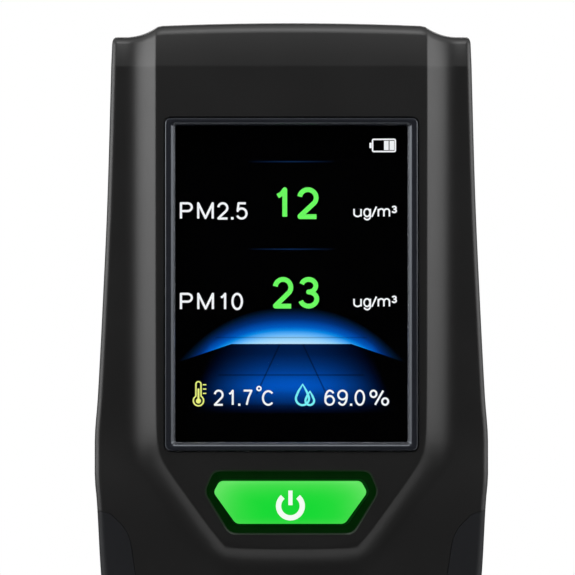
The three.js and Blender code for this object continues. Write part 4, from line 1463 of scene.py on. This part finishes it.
class MONITOR_OT_charge_socket(MonitorOperator):
    """Charging socket in the base: a pressed shell with round ends and a tongue"""

    bl_idname = "monitor.charge_socket"
    bl_label = "Charging Socket"

    def execute(self, context):
        low, high = node_box("usb_socket")
        middle, wall = (low.y + high.y) / 2, 0.3
        radius = (high.y - low.y) / 2
        half = (high.x - low.x) / 2 - radius
        levels = [(0, high.z), (0, low.z + 0.15), (0.08, low.z), (wall - 0.06, low.z),
                  (wall, low.z + 0.12), (wall, high.z - 1)]
        rings = [[(x, y, z) for x, y in slot_outline(0, middle, half, radius - shrink, 12)]
                 for shrink, z in levels]
        steel = brushed_metal("socket_steel", (0.6, 0.6, 0.62), 0.25)
        fitted(smooth(loft("charge_socket", rings)), "casing", "sheet_steel", steel, "usb_socket")
        tongue = loft("socket_tongue", [
            [(x, y, z) for x, y in rectangle(6.2 - 2 * taper, 0.7 - 2 * taper / 3, middle, 0.1, 3)]
            for z, taper in ((high.z - 1.1, 0), (low.z + 1.0, 0), (low.z + 0.8, 0.2))])
        fitted(smooth(tongue), "casing", "chip_black", varied("tongue_black", (0.012, 0.012, 0.012), 0.5))
        return {"FINISHED"}


def dress(name, material):
    """Gives a CAD node a finished material in place of its plain one."""
    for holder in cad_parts[name].material_slots:
        holder.material = material


class MONITOR_OT_inner_parts(MonitorOperator):
    """Finishes of the boards, the cell, the sensor, the fan and the other inner parts"""

    bl_idname = "monitor.inner_parts"
    bl_label = "Inner Parts"

    def execute(self, context):
        board = circuit_board("board_green", (0.012, 0.09, 0.035))
        steel = brushed_metal("sheet_steel", (0.55, 0.56, 0.57), 0.3)
        screws = brushed_metal("small_screw_steel", (0.5, 0.5, 0.52), 0.3)
        chip = varied("chip_black", (0.012, 0.012, 0.013), 0.55, size=0.15)
        fan = varied("fan_black", (0.014, 0.014, 0.015), 0.4, size=0.3)
        sensor = varied("sensor_paint", (0.022, 0.045, 0.09), 0.42, 0.3, size=0.35, depth=0.02)
        lamp = varied("lamp_lens", (0.75, 0.88, 0.72), 0.25, size=0.3)
        finishes = {
            "window_gasket": varied("gasket_foam", (0.012, 0.012, 0.012), 0.9, size=0.25, depth=0.12),
            "lcd_frame": steel,
            "display_flex": varied("flex_film", (0.32, 0.13, 0.03), 0.35, size=0.8),
            "switch_plunger": chip, "power_switch": steel, "main_board": board, "charge_board": board,
            "sensor_board": board, "climate_board": board, "main_chip": chip, "buzzer": chip,
            "climate_sensor": chip, "button_led_left": lamp, "button_led_right": lamp,
            "battery_plug": varied("plug_white", (0.72, 0.7, 0.64), 0.45, size=0.3),
            "battery_cell": varied("cell_wrap", (0.3, 0.34, 0.38), 0.4, size=1.2, depth=0.03),
            "battery_pad": varied("pad_foam", (0.02, 0.02, 0.02), 0.9, size=0.3, depth=0.1),
            "battery_lead": varied("lead_red", (0.4, 0.02, 0.015), 0.45, size=0.3),
            "sensor_housing": sensor, "sensor_cover": sensor, "laser_holder": sensor,
            "laser_diode": brushed_metal("diode_brass", (0.6, 0.42, 0.17), 0.3),
            "fan_motor": fan, "fan_axle": steel, "fan_rotor": fan,
            "rating_label": varied("label_grey", (0.3, 0.31, 0.32), 0.6, size=0.12, depth=0.004, spread=0.08),
        }
        finishes.update({f"board_screw_{i}": screws for i in (1, 2, 3, 4)})
        for name, material in finishes.items():
            dress(name, material)
        return {"FINISHED"}


# ---- Stage ----

def soft_lamp(name, position, target, width, height, power):
    """A large lamp that the camera doesn't see."""
    lamp = bpy.data.lights.new(name, "AREA")
    lamp.shape = "RECTANGLE"
    lamp.size, lamp.size_y = width, height
    lamp.energy = power
    holder = new_object(name, lamp)
    holder.location = position
    holder.rotation_euler = (Vector(target) - Vector(position)).to_track_quat("-Z", "Y").to_euler()
    holder.visible_camera = False
    return holder


CARD_HALF = 1100                # half the width of a card
CARD_FAR, CARD_TOP, CARD_THICK = 900, 2200, 4
CARD_NEAR = 50                  # the lying cards start this far from the middle
CARD_LOW, CARD_LYING = 0.2, 0.6


def dark_card(name, near, far, low, high):
    """A wide dark card, standing or lying, as studios use to keep black goods black.

    Only reflections see it: it is hidden from the camera and neither blocks nor bounces the lamps' light.
    """
    card = block(-CARD_HALF, CARD_HALF, near, far, low, high, name)
    paper = varied(name + "_paper", (0.01, 0.01, 0.01), 0.9, size=6, Specular_IOR_Level=0.0)
    card.data.materials.append(paper)
    card.visible_camera = card.visible_diffuse = card.visible_shadow = False


def background_share(tree):
    """1 on rays that see the bare background: from the camera, off gloss and through glass."""
    path = tree.nodes.new("ShaderNodeLightPath")
    seen = [Value(tree, path.outputs[f"Is {kind} Ray"]) for kind in ("Camera", "Glossy", "Transmission")]
    return (seen[0] + seen[1] + seen[2]).least(1.0)


FLOOR_RADIUS = 1300
FOCAL_LENGTH, SENSOR_WIDTH = 500, 36
EYE_X, EYE_Z = -0.72, 107.5     # where the camera stands


class MONITOR_OT_stage(MonitorOperator):
    """Pale floor, soft studio lamps, white background and the camera"""

    bl_idname = "monitor.stage"
    bl_label = "Stage"

    def execute(self, context):
        stage = settings("monitor_stage")
        scene = bpy.context.scene
        middle = (0, 0, 0.1)
        for side, name in ((-1, "side_left"), (1, "side_right")):
            power = stage.side_light * (1 - side * stage.side_balance)
            soft_lamp(name, (side * 0.59, -0.19, 0.265), (0, 0, 0.265), 0.6, 0.3, power)
        soft_lamp("overhead", (0, -0.36, 0.66), middle, 0.5, 0.3, stage.top_light)
        soft_lamp("front_fill", (0, -0.86, 0.46), middle, 0.8, 0.25, stage.front_light)
        soft_lamp("back_fill", (0, 0.86, 0.5), middle, 0.8, 0.35, stage.back_light)
        dark_card("card_front", -CARD_FAR - CARD_THICK, -CARD_FAR, 0, CARD_TOP)
        dark_card("card_back", CARD_FAR, CARD_FAR + CARD_THICK, 0, CARD_TOP)
        dark_card("card_floor_front", -CARD_FAR, -CARD_NEAR, CARD_LOW, CARD_LYING)
        dark_card("card_floor_back", CARD_NEAR, CARD_FAR, CARD_LOW, CARD_LYING)
        self.world(scene)
        self.floor(stage)
        self.camera(stage, scene)
        scene.view_settings.view_transform = "Standard"
        return {"FINISHED"}

    @staticmethod
    def world(scene):
        world = bpy.data.worlds.new("studio")
        scene.world = world
        world.use_nodes = True
        tree = world.node_tree
        mix = tree.nodes.new("ShaderNodeMix")
        mix.data_type = "RGBA"
        for place, value in ((0, background_share(tree)), (6, rgba(0.25)), (7, rgba(1.0))):
            plug(tree, mix.inputs[place], value)
        tree.links.new(mix.outputs[2], tree.nodes["Background"].inputs["Color"])

    @staticmethod
    def floor(stage):
        """A wide disc; most of its brightness is its own, so it stays pale and still shows the shadow."""
        outline = circle(0, 0, FLOOR_RADIUS, 96)
        disc = loft("floor", [[(x, y, z) for x, y in outline] for z in (-2, 0)])
        paper = Finish("floor_paper", Base_Color=rgba(stage.floor_colour), Roughness=0.8)
        tree = paper.tree
        x, y, _ = paper.axes()
        away = (((x * x + y * y) ** 0.5 - 120) / 500).within()
        glow = tree.nodes.new("ShaderNodeEmission")
        plug(tree, glow.inputs["Color"], paper.blend(away, (0.28, 0.28, 0.28), (0.95, 0.95, 0.95)))
        both = tree.nodes.new("ShaderNodeAddShader")
        mix = tree.nodes.new("ShaderNodeMixShader")
        plug(tree, mix.inputs[0], background_share(tree))
        shaded, surface = paper.shader.outputs[0], tree.nodes["Material Output"].inputs["Surface"]
        wire(tree, (shaded, both.inputs[0]), (glow.outputs[0], both.inputs[1]), (shaded, mix.inputs[1]),
             (both.outputs[0], mix.inputs[2]), (mix.outputs[0], surface))
        disc.data.materials.append(paper.material)

    @staticmethod
    def camera(stage, scene):
        data = bpy.data.cameras.new("camera")
        data.lens, data.sensor_width = FOCAL_LENGTH, SENSOR_WIDTH
        data.clip_end = 20
        holder = new_object("camera", data)
        holder.location = (EYE_X * MM, PANEL_Y * MM - stage.view_distance, EYE_Z * MM)
        holder.rotation_euler = (math.pi / 2, 0, 0)
        scene.camera = holder


# ---- Add-on ----

STEPS = (
    MONITOR_OT_front_shell, MONITOR_OT_rear_shell, MONITOR_OT_seam_lip, MONITOR_OT_grips,
    MONITOR_OT_screen_frame, MONITOR_OT_readout, MONITOR_OT_power_key, MONITOR_OT_screws,
    MONITOR_OT_inlet, MONITOR_OT_tripod_insert, MONITOR_OT_charge_socket, MONITOR_OT_inner_parts,
    MONITOR_OT_stage,
)
GROUPS = {
    "monitor_casing": CasingSettings, "monitor_screen": ScreenSettings,
    "monitor_key": KeySettings, "monitor_stage": StageSettings,
}


class MONITOR_PT_build(bpy.types.Panel):
    """Lists the building steps and their settings"""

    bl_label = "Air Quality Monitor"
    bl_idname = "MONITOR_PT_build"
    bl_space_type = "VIEW_3D"
    bl_region_type = "UI"
    bl_category = "Monitor"

    def draw(self, context):
        for name, group in GROUPS.items():
            box = self.layout.box()
            for key in group.__annotations__:
                box.prop(getattr(context.scene, name), key)
        column = self.layout.column(align=True)
        for step in STEPS:
            column.operator(step.bl_idname)


def register():
    for cls in (*GROUPS.values(), *STEPS, MONITOR_PT_build):
        bpy.utils.register_class(cls)
    for name, group in GROUPS.items():
        setattr(bpy.types.Scene, name, bpy.props.PointerProperty(type=group))


def unregister():
    for name in GROUPS:
        delattr(bpy.types.Scene, name)
    for cls in reversed((*GROUPS.values(), *STEPS, MONITOR_PT_build)):
        bpy.utils.unregister_class(cls)


def main():
    register()
    for step in STEPS:
        area, name = step.bl_idname.split(".")
        getattr(getattr(bpy.ops, area), name)()


if __name__ == "__main__":
    main()
